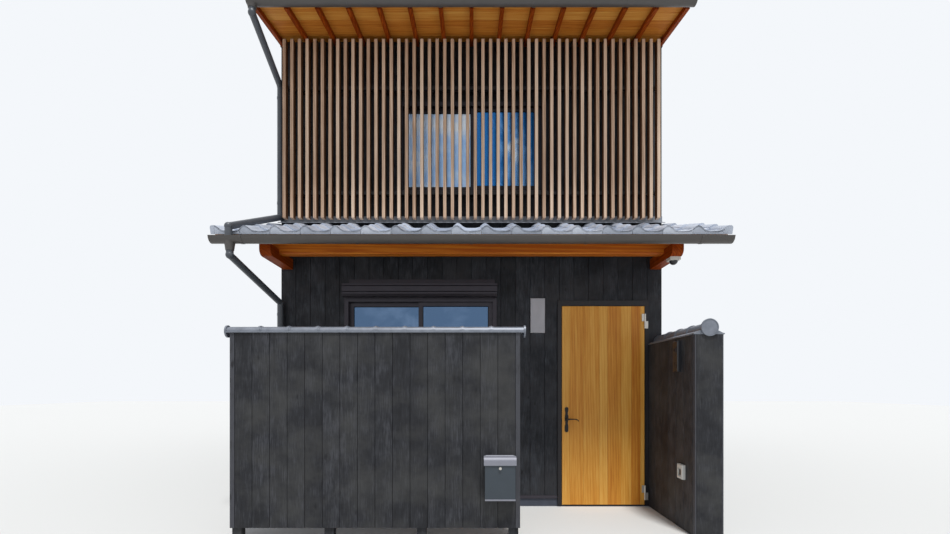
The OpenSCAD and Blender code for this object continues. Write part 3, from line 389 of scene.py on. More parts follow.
def concrete(name, dark, mid, pale):
    """Cast and trowelled concrete, with blotches and small pores."""
    material, tree, shader = start_material(name, IOR=1.5, Roughness=0.85)
    cloud = add(tree, "ShaderNodeTexNoise", {"Scale": 1.0, "Detail": 5.0, "Roughness": 0.65},
                {"Vector": object_mm(tree, 120, 120, 120)}).outputs["Fac"]
    pores = add(tree, "ShaderNodeTexVoronoi", {"Scale": 1.0},
                {"Vector": object_mm(tree, 9, 9, 9)}).outputs["Distance"]
    colour = add(tree, "ShaderNodeValToRGB", links={"Fac": cloud},
                 stops=[(0.25, dark), (0.6, mid), (0.85, pale)]).outputs["Color"]
    raised = add(tree, "ShaderNodeBump", {"Distance": 0.6 * MM}, {"Height": pores}).outputs[0]
    join(tree, shader, {"Base Color": colour, "Normal": raised})
    return material


# The pent tiles are paler than the caps: painted sunlight and sky reflection on the same clay.
smoked_clay_painted_sunlit = tile_clay("smoked_clay_painted_sunlit", "#a1a8b5", "#c0c7d4", "#d9dfea", 0.45)
cap_clay = tile_clay("duller_smoked_clay", "#6b7079", "#868b95", "#a6aab3", 0.2)
cast_concrete = concrete("trowelled_concrete", "#3a3e48", "#494e5a", "#5a5f6a")
print("fired and cast:", smoked_clay_painted_sunlit.name, cap_clay.name, cast_concrete.name)

# %% [markdown]
# ## Coated metal and moulded plastic
# Roofing, flashing and window frames are coated steel or anodised aluminium, and gutters and
# pipes are moulded vinyl. Each is one even colour with a faint orange peel, and weather makes
# its gloss a little cloudy. One function makes them all, because only the numbers differ.

# %% Metals, enamels and plastics
def coated(name, colour, roughness, peel_mm=1.5, relief_mm=0.02, **surface):
    """A smooth coated or moulded surface: one colour, with an orange peel and cloudy gloss."""
    material, tree, shader = start_material(name, Roughness=roughness, **surface)
    cloud = add(tree, "ShaderNodeTexNoise", {"Scale": 1.0, "Detail": 3.0},
                {"Vector": object_mm(tree, 90, 90, 90)}).outputs["Fac"]
    peel = add(tree, "ShaderNodeTexNoise", {"Scale": 1.0, "Detail": 1.0},
               {"Vector": object_mm(tree, peel_mm, peel_mm, peel_mm)}).outputs["Fac"]
    clouded = add(tree, "ShaderNodeMix", {"data_type": "RGBA", "blend_type": "MULTIPLY",
                                          6: linear(colour), 7: (0.78, 0.78, 0.78, 1)},
                  {0: cloud}).outputs[2]
    rough = add(tree, "ShaderNodeMapRange",
                {"To Min": roughness - 0.06, "To Max": roughness + 0.08}, {"Value": cloud}).outputs[0]
    raised = add(tree, "ShaderNodeBump", {"Distance": relief_mm * MM}, {"Height": peel}).outputs[0]
    join(tree, shader, {"Base Color": clouded, "Roughness": rough, "Normal": raised})
    return material


roof_metal = coated("coated_roof_steel", "#34363b", 0.42, Metallic=0.3)
flashing_metal = coated("grey_flashing_steel", "#8d9199", 0.45, Metallic=0.4)
gutter_vinyl = coated("brown_grey_gutter_vinyl", "#514d4a", 0.38)
pipe_vinyl = coated("grey_pipe_vinyl", "#4b4f55", 0.40)
bronze = coated("bronze_anodised_aluminium", "#37333a", 0.36, Metallic=0.5)
black_iron = coated("black_wrought_iron", "#161415", 0.5, peel_mm=3, relief_mm=0.1, Metallic=0.3)
hinge_steel = coated("satin_hinge_steel", "#d0ccc4", 0.35, Metallic=0.6)
box_enamel = coated("slate_enamel", "#374048", 0.42)
lid_enamel = coated("pale_grey_enamel", "#8a8b95", 0.45, Metallic=0.1)
plate_metal = coated("matt_plate_metal", "#b4b3b8", 0.5, Metallic=0.2)
dark_plastic = coated("dark_moulded_plastic", "#26272b", 0.35)
white_plastic = coated("white_moulded_plastic", "#d6d5cf", 0.4)
print("materials so far:", len(bpy.data.materials))

# %% [markdown]
# ## Glass and rubber
# The panes are coated double glazing. From outside they mirror the sky, blue and a little uneven,
# and nothing is seen behind them. Clear glass would show a dark empty room, so the coat is treated
# as a thin tinted metal film, and the sky and clouds it mirrors are painted into its colour as a
# painted reflection. The gaskets are black rubber.

# %% Window glass
def glass_with_painted_sky(name, deep, middle, pale, spread_mm, clear=0.5, haze=0.05):
    """Solar-control glass: a smooth tinted mirror film whose colour carries a painted reflection of
    sky and cloud, with the slight waviness of float glass. clear is the share of painted open sky,
    and haze the film's roughness."""
    material, tree, shader = start_material(name, Metallic=0.85, Roughness=haze, IOR=1.5)
    # Painted reflection: sky and cloud colours laid out by a noise.
    cloud = add(tree, "ShaderNodeTexNoise",
                {"Scale": 1.0, "Detail": 4.0, "Roughness": 0.55, "Distortion": 0.5},
                {"Vector": object_mm(tree, *spread_mm)}).outputs["Fac"]
    painted_sky_tint = add(tree, "ShaderNodeValToRGB", links={"Fac": cloud},
               stops=[(clear - 0.06, deep), (clear + 0.05, middle), (clear + 0.16, pale)])
    wave = add(tree, "ShaderNodeTexNoise", {"Scale": 1.0, "Detail": 0.0},
               {"Vector": object_mm(tree, 350, 350, 350)}).outputs["Fac"]
    raised = add(tree, "ShaderNodeBump", {"Distance": 0.15 * MM}, {"Height": wave}).outputs[0]
    join(tree, shader, {"Base Color": painted_sky_tint.outputs["Color"], "Normal": raised})
    return material


# Each glass carries a painted sky reflection in its colour.
hazy_painted_sky_glass = glass_with_painted_sky("glass_painted_hazy_sky", "#a8cefb", "#c6e0ff", "#eef6ff", (420, 420, 300),
                          clear=0.44, haze=0.28)
blue_painted_sky_glass = glass_with_painted_sky("glass_painted_blue_sky", "#2470b4", "#6ea8e2", "#dceeff", (300, 300, 520),
                          clear=0.56, haze=0.24)
plain_painted_sky_glass = glass_with_painted_sky("glass_painted_plain_sky", "#526c8b", "#647d9c", "#788dab", (500, 500, 400))
rubber, _, _ = start_material("black_rubber", Base_Color=linear("#131314"), Roughness=0.7, IOR=1.5)
print("glass:", [m.name for m in bpy.data.materials if m.name.startswith("glass")])

# %% [markdown]
# ## Give the plain nodes their materials
# Nodes whose shape is already right keep their mesh and only get a finish. Real edges are never
# quite sharp, so a bevel modifier eases them and lets them catch the light. The rest of the
# nodes are replaced further down by meshes that show each board or tile.

# %% Which node has which finish
FINISHES = {
    cast_concrete: ["foundation"],
    floor_cedar: ["upper_floor"],
    greyed_char: ["screen_frame"],
    frame_stain: ["door_frame"],
    black_iron: ["door_plate", "door_lever"],
    hinge_steel: ["hinge_pins", "hinge_knuckles"],
    bronze: ["lower_window_frame", "upper_window_frame", "rear_window_frames", "shutter_box"],
    plain_painted_sky_glass: ["lower_window_glass", "rear_window_glass"],
    hazy_painted_sky_glass: ["upper_window_glass"],
    beam_cedar: ["pent_beam"],
    rafter_cedar: ["pent_arms", "pent_rafters", "eave_rafters"],
    cap_clay: ["screen_cap", "return_wall_cap"],
    flashing_metal: ["pent_flashing"],
    gutter_vinyl: ["pent_gutter", "eave_gutters"],
    pipe_vinyl: ["downpipes"],
    roof_metal: ["roof_front_slope", "roof_rear_slope", "ridge_cap"],
    box_enamel: ["letter_box"],
    lid_enamel: ["letter_box_lid"],
    plate_metal: ["nameplate"],
    dark_plastic: ["intercom"],
    white_plastic: ["outlet_cover", "sensor_light"],
}
EASED_MM = {"foundation": 4, "door_frame": 1.5, "shutter_box": 1.5, "pent_arms": 3, "pent_beam": 3,
            "pent_rafters": 1.5, "eave_rafters": 1.5, "pent_flashing": 1, "screen_frame": 2,
            "screen_cap": 1.5, "return_wall_cap": 1.5, "lower_window_frame": 1,
            "upper_window_frame": 1, "rear_window_frames": 1, "letter_box": 0.8, "intercom": 0.8,
            "outlet_cover": 0.8, "door_plate": 0.8, "sensor_light": 2}
print(len(FINISHES), "finishes, with", len(EASED_MM), "nodes to ease")

# %% Finish the plain nodes
SHARP_DEG, BEVEL_FROM_DEG = 35, 40


def add_bevel(made, mm):
    """Rounds the sharp edges of an object with a modifier."""
    edge = made.modifiers.new("edge", "BEVEL")
    edge.width = mm * MM
    edge.segments = 1
    edge.limit_method = "ANGLE"
    edge.angle_limit = math.radians(BEVEL_FROM_DEG)


for material, names in FINISHES.items():
    for name in names:
        mesh = nodes[name].data
        mesh.materials.clear()
        mesh.materials.append(material)
        mesh.shade_smooth()
        mesh.set_sharp_from_angle(angle=math.radians(SHARP_DEG))
        if name in EASED_MM:
            add_bevel(nodes[name], EASED_MM[name])
print("painted", sum(len(names) for names in FINISHES.values()), "nodes")

# %% [markdown]
# ## Parts of a node in another material
# The right pane of the upper window gets a bluer painted sky reflection than the left one. The
# letter box has a steel knob and a paler lip, which stand proud of its front, and the sensor light
# has a dark head below its white base. Their faces are found by where they lie.

# %% Second materials
PROUD_FROM = 13 * MM
HEAD_FROM = 31 * MM


def repaint(name, material, chosen):
    """Gives a material to the faces of a node that a test of their centre picks."""
    mesh = nodes[name].data
    mesh.materials.append(material)
    picked = [face for face in mesh.polygons if chosen(face.center)]
    for face in picked:
        face.material_index = len(mesh.materials) - 1
    print(name, len(picked), "faces in", material.name)


box_low, box_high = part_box("letter_box")
box_middle = (box_low.z + box_high.z) / 2
head_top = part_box("sensor_light")[1].z - HEAD_FROM
repaint("upper_window_glass", blue_painted_sky_glass, lambda at: at.x > 0)
repaint("letter_box", hinge_steel, lambda at: at.y < box_low.y + PROUD_FROM and at.z > box_middle)
repaint("letter_box", lid_enamel, lambda at: at.y < box_low.y + PROUD_FROM and at.z <= box_middle)
repaint("sensor_light", dark_plastic, lambda at: at.z < head_top)

# %% [markdown]
# ## Building boards
# A board is an outline pushed back from its face. All boards of a wall are made in one mesh,
# each with its own tone, and a small bevel on every edge catches the light as the broken edges
# of real boards do. An array modifier would be shorter, but its boards would be all alike.

# %% Solids that carry a tone
UP = Vector((0, 0, 1))
RIGHT = Vector((1, 0, 0))
FRONT = Vector((0, -1, 0))


def prism(mesh, outline, depth, tone):
    """Adds a closed solid: an outline of points, pushed along depth, with a tone for its faces."""
    tones = mesh.faces.layers.float.get("tone") or mesh.faces.layers.float.new("tone")
    near = [mesh.verts.new(p) for p in outline]
    far = [mesh.verts.new(p + depth) for p in outline]
    faces = [mesh.faces.new(near), mesh.faces.new(far[::-1])]
    for i in range(len(outline)):
        j = (i + 1) % len(outline)
        faces.append(mesh.faces.new([near[j], near[i], far[i], far[j]]))
    for face in faces:
        face[tones] = tone


def block(mesh, low, high, tone=0.5):
    """Adds a box between two corners."""
    low, high = Vector(low), Vector(high)
    prism(mesh, [Vector((x, low.y, z)) for x, z in
                 ((low.x, low.z), (high.x, low.z), (high.x, high.z), (low.x, high.z))],
          Vector((0, high.y - low.y, 0)), tone)


def across(mesh, x0, x1, outline, tone=0.5):
    """Adds an outline of (y, z) points, pushed along X."""
    prism(mesh, [Vector((x0, y, z)) for y, z in outline], Vector((x1 - x0, 0, 0)), tone)


print("solids: prism, block, across")

# %% Rows of boards
def run_of_boards(mesh, corner, along, out, widths, bottom, top, tones, gap=3 * MM, depth=12 * MM):
    """Adds upright boards side by side. corner starts the run, top(u) is the height at u."""
    u = 0.0
    for width, tone in zip(widths, tones):
        u0, u1 = u + gap / 2, u + width - gap / 2
        prism(mesh, [corner + along * a + UP * z for a, z in
                     ((u0, bottom), (u1, bottom), (u1, top(u1)), (u0, top(u0)))], out * -depth, tone)
        u += width


def even(length, pitch):
    """Equal widths near a pitch that fill a length."""
    count = max(1, round(length / pitch))
    return [length / count] * count


def some_tones(count, seed):
    """Random tones from 0 to 1."""
    rng = random.Random(seed)
    return [rng.random() for _ in range(count)]


print("a wall of 1 m gets", len(even(1.0, 150 * MM)), "boards")

# %% [markdown]
# ## From a mesh to a piece
# A piece rides on a body of the frame, so that it moves with it. Openings are cut as boxes. Each
# wall is cut before its backing is added, because a clean cut needs solids that don't touch.

# %% Objects, modifiers and cuts
def new_object(name, mesh):
    """Turns a bmesh into an object."""
    bmesh.ops.recalc_face_normals(mesh, faces=mesh.faces)
    data = bpy.data.meshes.new(name)
    mesh.to_mesh(data)
    mesh.free()
    made = bpy.data.objects.new(name, data)
    scene.collection.objects.link(made)
    return made


def bake(made):
    """Applies an object's modifiers to its mesh."""
    graph = bpy.context.evaluated_depsgraph_get()
    data = bpy.data.meshes.new_from_object(made.evaluated_get(graph))
    made.modifiers.clear()
    made.data = data


def carve(mesh, cuts):
    """Cuts boxes out of a bmesh of separate solids, and gives the bmesh that is left."""
    whole = new_object("whole", mesh)
    boxes = bmesh.new()
    for low, high in cuts:
        block(boxes, low, high)
    cutter = new_object("cutter", boxes)
    hole = whole.modifiers.new("hole", "BOOLEAN")
    hole.operation = "DIFFERENCE"
    hole.solver = "EXACT"
    hole.object = cutter
    bake(whole)
    left = bmesh.new()
    left.from_mesh(whole.data)
    bpy.data.objects.remove(whole)
    bpy.data.objects.remove(cutter)
    return left


print("mesh helpers: new_object, bake, carve")

# %% Make a piece
def make_piece(name, mesh, material, stands_for=(), bevel_mm=0.0, body="house", smooth=0):
    """Makes a piece from a bmesh: material, bevel, body and the nodes it stands for."""
    made = new_object(name, mesh)
    made.data.materials.clear()
    made.data.materials.append(material)
    if bevel_mm:
        add_bevel(made, bevel_mm)
        bake(made)
    if smooth:
        made.data.shade_smooth()
        made.data.set_sharp_from_angle(angle=math.radians(smooth))
    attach(made, body)
    if stands_for:
        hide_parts(*stands_for)
    print(name, len(made.data.polygons), "faces")


print("piece helper: make_piece")

# %% [markdown]
# ## Charred cedar walls
# Every outer wall is one skin of upright charred boards about 150 mm wide with shadow gaps,
# before a dark backing. The faces of the boards lie where the frame's walls have their faces.
# A striped material would take less work, but its boards would have no edges to catch light.

# %% Measures of the walls
BOARD = 150 * MM
BOARD_T = 12 * MM
WALL_T = 150 * MM
ROOF_PITCH = 0.175
EAVE_Z = 4.768
JOINT = 1 * MM
FAR = 1.0
foot_low, foot_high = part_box("foundation")
base_top = foot_high.z
front_y, rear_y = foot_low.y, foot_high.y
left_x, right_x = foot_low.x, foot_high.x
storey_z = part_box("front_wall_left")[1].z


def under_roof(y):
    """Height of the roof's underside over a place from the front to the rear."""
    return EAVE_Z + ROOF_PITCH * (rear_y - abs(y))


def opening(low_x, high_x, low_z, high_z, y):
    """A cutter that reaches well before and behind the wall at y."""
    return (low_x, y - FAR, low_z), (high_x, y + FAR, high_z)


def frame_opening(name):
    """A cutter as large as a frame of the front wall."""
    low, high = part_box(name)
    return opening(low.x, high.x, low.z, high.z, front_y)


print("walls from", left_x, "to", right_x, "and from", front_y, "to", rear_y)

# %% Front and rear walls
def wall(name, face_y, facing, bottom, top, cuts, stands_for, seed):
    """A front or rear wall: boards on the face at face_y, then the backing behind them."""
    inner_y = face_y - facing * WALL_T
    board_y = face_y - facing * BOARD_T
    inner_top = under_roof(inner_y) if top == EAVE_Z else top
    boards = bmesh.new()
    widths = even(right_x - left_x, BOARD)
    run_of_boards(boards, Vector((left_x, face_y, 0)), RIGHT, Vector((0, facing, 0)), widths, bottom,
                  lambda u: top, some_tones(len(widths), seed))
    made = carve(boards, cuts)
    backing = bmesh.new()
    across(backing, left_x + BOARD_T, right_x - BOARD_T,
           [(board_y, bottom), (inner_y, bottom), (inner_y, inner_top), (board_y, top)], 0.0)
    part = new_object("backing", carve(backing, cuts))
    made.from_mesh(part.data)
    bpy.data.objects.remove(part)
    make_piece(name, made, charred_cedar, stands_for, 1.5)


DOORWAY = opening(0.891, 1.833, 0, 2.130, front_y)
REAR_LOW_WINDOW = opening(-0.260, 1.315, 0.990, 2.160, rear_y)
REAR_HIGH_WINDOW = opening(-0.780, 0.750, 3.240, 4.185, rear_y)
wall("lower_front_boards", front_y, -1, base_top, storey_z - JOINT,
     [DOORWAY, frame_opening("lower_window_frame")],
     ["front_wall_left", "front_wall_right", "front_wall_over_door"], 11)
wall("upper_front_boards", front_y, -1, storey_z, EAVE_Z, [frame_opening("upper_window_frame")],
     ["upper_front_wall"], 12)
wall("rear_boards", rear_y, 1, base_top, EAVE_Z, [REAR_LOW_WINDOW, REAR_HIGH_WINDOW], ["rear_wall"], 13)

# %% [markdown]
# ## Party walls
# The side walls rise from the eaves to the ridge. They are boarded like the front, but the top
# of each board follows the underside of the roof.

# %% Party walls
for side, name, seed in ((-1, "left_party_wall", 14), (1, "right_party_wall", 15)):
    mesh = bmesh.new()
    face_x = left_x if side < 0 else right_x
    start = front_y + BOARD_T
    length = rear_y - front_y - 2 * BOARD_T
    widths = even(length / 2, BOARD) * 2
    run_of_boards(mesh, Vector((face_x, start, 0)), Vector((0, 1, 0)), Vector((side, 0, 0)), widths,
                  base_top, lambda u: under_roof(start + u), some_tones(len(widths), seed))
    y = rear_y - WALL_T
    inner, outer = face_x - side * WALL_T, face_x - side * BOARD_T
    across(mesh, min(inner, outer), max(inner, outer),
           [(-y, base_top), (y, base_top), (y, under_roof(y)), (0, under_roof(0)),
            (-y, under_roof(y))], 0.0)
    make_piece(name + "_boards", mesh, charred_cedar, [name], 1.5)

# %% [markdown]
# ## Garden walls
# The screen wall before the window carries boards between two narrow corner trims, on both
# faces, and its ends are closed. The trims are drawn paler than the boards, as painted sunlight on
# the corners. A material of their own could do that, but a tone beyond the boards' range from 0
# to 1 does it too.

# %% Screen wall
# The trims' tone makes them paler: painted sunlight on the corners.
TRIM, TRIM_PAINTED_LIGHT_TONE, END_TONE = 40 * MM, 2.6, 0.6
SCREEN_BOARD, SHEET, SHEET_INSET = 142 * MM, 3 * MM, 2 * MM
screen_low, screen_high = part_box("screen_boards")
bottom, top = screen_low.z, screen_high.z
length = screen_high.x - screen_low.x
mesh = bmesh.new()
widths = [TRIM] + even(length - 2 * TRIM, SCREEN_BOARD) + [TRIM]
tones = [[TRIM_PAINTED_LIGHT_TONE] + some_tones(len(widths) - 2, seed) + [TRIM_PAINTED_LIGHT_TONE] for seed in (21, 22)]
run_of_boards(mesh, screen_low, RIGHT, FRONT, widths, 0, lambda u: top - bottom, tones[0])
run_of_boards(mesh, Vector((screen_low.x, screen_high.y, bottom)), RIGHT, -FRONT, widths, 0,
              lambda u: top - bottom, tones[1])
depth = screen_high.y - screen_low.y - 2 * BOARD_T
for x, out in ((screen_low.x, -RIGHT), (screen_high.x, RIGHT)):
    run_of_boards(mesh, Vector((x, screen_low.y + BOARD_T, bottom)), Vector((0, 1, 0)), out, [depth], 0,
                  lambda u: top - bottom, [END_TONE])
for y in (screen_low.y + BOARD_T, screen_high.y - BOARD_T - SHEET):
    block(mesh, (screen_low.x + BOARD_T, y, bottom + SHEET_INSET),
          (screen_high.x - BOARD_T, y + SHEET, top - SHEET_INSET), 0.0)
make_piece("screen_wall_boards", mesh, greyed_char, ["screen_boards"], 1.5)

# %% [markdown]
# ## Return wall
# The wall at the right of the entrance is boarded on both long faces and on its front end, with
# a trim at each front corner. The boards stand on a closed core, so that no gap is seen through.

# %% Return wall
RETURN_BOARD, RETURN_END_TONE = 165 * MM, 0.35
wall_low, wall_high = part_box("return_wall")
mesh = bmesh.new()
length = wall_high.y - wall_low.y
height = wall_high.z - wall_low.z
widths = [TRIM] + even(length - TRIM, RETURN_BOARD)
# The front corner trims take the same paler tone: painted light.
for corner, out, seed in ((wall_low, -RIGHT, 23),
                          (Vector((wall_high.x, wall_low.y, wall_low.z)), RIGHT, 24)):
    run_of_boards(mesh, corner, Vector((0, 1, 0)), out, widths, 0, lambda u: height,
                  [TRIM_PAINTED_LIGHT_TONE] + some_tones(len(widths) - 1, seed))
run_of_boards(mesh, wall_low + RIGHT * BOARD_T, RIGHT, FRONT, [wall_high.x - wall_low.x - 2 * BOARD_T],
              0, lambda u: height, [RETURN_END_TONE])
block(mesh, wall_low + Vector((BOARD_T, BOARD_T, 0)), wall_high - Vector((BOARD_T, 0, 0)), 0.0)
make_piece("return_wall_boards", mesh, greyed_char, ["return_wall"], 1.5)

# %% [markdown]
# ## Entrance door
# The leaf is made of eight upright cedar planks of mixed widths. Widths and shades are read
# from left to right, because the door is what the eye goes to first, and random ones would
# give another door. The planks stand on both sides of a thin core, and fine grooves part them.

# %% Door planks
PLANKS_MM = [80, 141, 168, 80, 143, 104, 94, 42]
PLANK_TONES = [0.76, 0.44, 0.58, 0.90, 0.32, 0.76, 0.14, 0.85]
PLANK_T, GROOVE = 8 * MM, 0.8 * MM
leaf_low, leaf_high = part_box("door_leaf")
height = leaf_high.z - leaf_low.z
widths = [w / sum(PLANKS_MM) * (leaf_high.x - leaf_low.x) for w in PLANKS_MM]
mesh = bmesh.new()
for corner, out in ((leaf_low, FRONT), (Vector((leaf_low.x, leaf_high.y, leaf_low.z)), -FRONT)):
    run_of_boards(mesh, corner, RIGHT, out, widths, 0, lambda u: height, PLANK_TONES, GROOVE, PLANK_T)
block(mesh, (leaf_low.x, leaf_low.y + PLANK_T, leaf_low.z),
      (leaf_high.x, leaf_high.y - PLANK_T, leaf_high.z))
make_piece("door_planks", mesh, door_cedar, ["door_leaf"], 0.5, body="door")

# %% [markdown]
# ## Lattice
# Fifty slats stand before two dark rails. Sun and rain have bleached their faces. Each slat
# has its own tone and slightly eased edges, and short blocks hold the rails off the wall.

# %% Slats and rails
SLATS, SLAT_W, SLAT_D, RAIL = 50, 33 * MM, 65 * MM, 34 * MM
RAIL_Z = (3.200, 4.270)
BLOCK_SPREAD = 0.46
grid_low, grid_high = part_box("lattice")
mesh = bmesh.new()
step = (grid_high.x - grid_low.x - SLAT_W) / (SLATS - 1)
for i, tone in enumerate(some_tones(SLATS, 31)):
    x = grid_low.x + i * step
    block(mesh, (x, grid_low.y, grid_low.z), (x + SLAT_W, grid_low.y + SLAT_D, grid_high.z), tone)
make_piece("lattice_slats", mesh, lattice_cedar, ["lattice"], 1.5)

mesh = bmesh.new()
back = grid_low.y + SLAT_D
for z in RAIL_Z:
    block(mesh, (grid_low.x, back, z), (grid_high.x, back + RAIL, z + RAIL))
    for k in range(-2, 3):
        x = k * grid_high.x * BLOCK_SPREAD
        block(mesh, (x - RAIL / 2, back + RAIL, z), (x + RAIL / 2, front_y, z + RAIL))
make_piece("lattice_rails", mesh, frame_stain, bevel_mm=1)

# %% [markdown]
# ## Boarding under the roofs
# Boards about 125 mm wide lie on the rafters and are seen from below, so each is a solid with
# its own tone. One function serves both roofs, because only sizes and slopes differ.

# %% Soffit boards and pent roof boarding
EAVE_OUT, RAFTER_H, SOFFIT_T, BOARD_GAP = 0.636, 46 * MM, 14.9 * MM, 3 * MM
PENT_RISE, PENT_OUT, PENT_Z, DECK_T = 0.38, 0.760, 2.578, 20 * MM


def boarding(mesh, length, out, thick, height, rise, count, facing, seed):
    """Boards side by side from a wall outwards. height is the underside at the wall's face."""
    for i, tone in enumerate(some_tones(count, seed)):
        a = out * i / count + BOARD_GAP / 2
        b = out * (i + 1) / count - (BOARD_GAP / 2 if i < count - 1 else 0)
        across(mesh, -length / 2, length / 2,
               [(facing * (rear_y + u), height - rise * u + t) for u, t in
                ((a, 0), (b, 0), (b, thick), (a, thick))], tone)


mesh = bmesh.new()
for facing in (-1, 1):
    boarding(mesh, right_x - left_x, EAVE_OUT, SOFFIT_T, EAVE_Z + RAFTER_H, ROOF_PITCH, 5, facing, 41)
make_piece("soffit_boards", mesh, soffit_cedar, ["eave_soffits"], 1)

deck_low, deck_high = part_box("pent_deck")
mesh = bmesh.new()
boarding(mesh, deck_high.x - deck_low.x, front_y - deck_low.y, DECK_T,
         PENT_Z + PENT_RISE * PENT_OUT - DECK_T, PENT_RISE, 6, -1, 42)
make_piece("pent_boarding", mesh, soffit_cedar, ["pent_deck"], 1)

# %% [markdown]
# ## Tiles of the pent roof
# A pantile is a broad shallow pan with a narrow roll along one side, and the roll lies over
# the next tile's edge. Each course tips a little so that the next one laps over its head. One
# wave gives the outline of every tile, so that neighbours fit, and each tile is a closed shell
# of its own with its own tone.

# %% The form of a course
PAN_T, ROLL_H, TILE_W, COURSES, TILES = 30 * MM, 46 * MM, 265 * MM, 3, 17
LIFT, TILE_T, LAP, TOP_LAP, TOP_GAP = 18 * MM, 15 * MM, 25 * MM, 60 * MM, 3 * MM
slope = math.atan(PENT_RISE)
course_l = PENT_OUT / math.cos(slope) / COURSES
pent_half = TILES * TILE_W / 2


def wave(t):
    """Height of the tiles over the boarding at a place counted in tiles."""
    return PAN_T + ROLL_H * (0.5 + 0.5 * math.cos(2 * math.pi * t)) ** 3


def on_tiles(k, x, s, n):
    """A point of course k: x across, s up from its lower edge, n square to its own tipped plane."""
    tip = math.atan(LIFT / (course_l + (TOP_LAP if k == COURSES - 1 else LAP)))
    up = k * course_l + s * math.cos(tip) + n * math.sin(tip)
    off = n * math.cos(tip) - s * math.sin(tip)
    return Vector((x, front_y - PENT_OUT + up * math.cos(slope) - off * math.sin(slope),
                   PENT_Z + up * math.sin(slope) + off * math.cos(slope)))


def course_length(k):
    """Length of the tiles of course k. The last one stops short of the wall."""
    return course_l + LAP if k < COURSES - 1 else course_l - TOP_GAP


print("a course is", round(course_l / MM), "mm long")

# %% One pantile
EDGE, TUCK, TUCK_RUN, DIP = -0.17, 0.03, 0.06, 8 * MM
COLUMNS, ROWS = 20, 3


def pantile(mesh, k, i, tone):
    """One tile of course k and column i, as a closed shell. Its right edge dips under the roll
    of the next tile."""
    tones = mesh.faces.layers.float.get("tone") or mesh.faces.layers.float.new("tone")
    start = 0.0 if i == 0 else EDGE
    end = 1 + EDGE + TUCK
    grid = []
    for row in range(ROWS + 1):
        s = course_length(k) * row / ROWS
        line = []
        for t in (start + (end - start) * j / COLUMNS for j in range(COLUMNS + 1)):
            tuck = min(1, max(0, (t - (1 + EDGE) + TUCK_RUN) / TUCK_RUN))
            line.append((-pent_half + (i + t) * TILE_W, s, wave(t) - DIP * tuck))
        grid.append(line)
    top = [[mesh.verts.new(on_tiles(k, x, s, n)) for x, s, n in line] for line in grid]
    low = [[mesh.verts.new(on_tiles(k, x, s, n - TILE_T)) for x, s, n in line] for line in grid]
    faces = []
    for r in range(ROWS):
        for c in range(COLUMNS):
            faces.append(mesh.faces.new((top[r][c], top[r][c + 1], top[r + 1][c + 1], top[r + 1][c])))
            faces.append(mesh.faces.new((low[r][c], low[r + 1][c], low[r + 1][c + 1], low[r][c + 1])))
        for c in (0, COLUMNS):
            faces.append(mesh.faces.new((top[r][c], top[r + 1][c], low[r + 1][c], low[r][c])))
    for c in range(COLUMNS):
        for r in (0, ROWS):
            faces.append(mesh.faces.new((top[r][c], low[r][c], low[r][c + 1], top[r][c + 1])))
    for face in faces:
        face[tones] = tone


tiles = bmesh.new()
for k in range(COURSES):
    for i, tone in enumerate(some_tones(TILES, 50 + k)):
        pantile(tiles, k, i, tone)
print(COURSES * TILES, "pantiles")

# %% [markdown]
# ## Apron and verges
# The tiles of the lowest course have an apron, a plate that fills the wave from its crest down
# to a straight lower edge. At both ends a verge tile closes the field with a rounded shoulder.

# %% Apron and verge tiles
APRON_T, APRON_GAP, APRON_STEPS = 22 * MM, 0.006, 16
VERGE_W, SHOULDER, CLEAR = 37 * MM, 22 * MM, 1 * MM
for i, tone in enumerate(some_tones(TILES, 50)):
    start = (0 if i == 0 else EDGE) + APRON_GAP
    end = 1 + EDGE - APRON_GAP
    line = [start + (end - start) * j / APRON_STEPS for j in range(APRON_STEPS + 1)]
    points = [(-pent_half + (i + t) * TILE_W, wave(t)) for t in line]
    points += [(points[-1][0], CLEAR), (points[0][0], CLEAR)]
    prism(tiles, [on_tiles(0, x, 0, n) for x, n in points],
          on_tiles(0, 0, APRON_T, 0) - on_tiles(0, 0, 0, 0), tone)

crest = PAN_T + ROLL_H
for side in (-1, 1):
    for k in range(COURSES):
        points = [(VERGE_W, CLEAR)]
        points += [(VERGE_W - SHOULDER + SHOULDER * math.cos(a), crest - SHOULDER + SHOULDER * math.sin(a))
                   for a in (math.radians(d) for d in range(0, 91, 15))]
        points += [(t * TILE_W, wave(t)) for t in ([0] if side < 0 else [0, -0.06, -0.12, EDGE])]
        points += [(points[-1][0], CLEAR)]
        prism(tiles, [on_tiles(k, side * (pent_half + x), 0, n) for x, n in points],
              on_tiles(k, 0, course_length(k), 0) - on_tiles(k, 0, 0, 0), 0.3 + 0.2 * k)
# The pantiles carry the clay that is painted paler for sunlight and sky reflection.
make_piece("pent_pantiles", tiles, smoked_clay_painted_sunlit, ["pent_tiles"], smooth=SHARP_DEG)

# %% [markdown]
# ## Gaskets
# A thin rubber gasket holds each pane in its sash. It shows as a fine black line. The panes are
# found as the loose parts of the glass nodes, so that the gaskets follow them.

# %% Pane gaskets
GASKET_W, GASKET_T = 6 * MM, 3 * MM


def ring(mesh, low, high, width):
    """Adds a flat frame between two corners, with its opening along Y."""
    low, high = Vector(low), Vector(high)
    block(mesh, low, (low.x + width, high.y, high.z))
    block(mesh, (high.x - width, low.y, low.z), high)
    block(mesh, (low.x + width, low.y, low.z), (high.x - width, high.y, low.z + width))
    block(mesh, (low.x + width, low.y, high.z - width), (high.x - width, high.y, high.z))


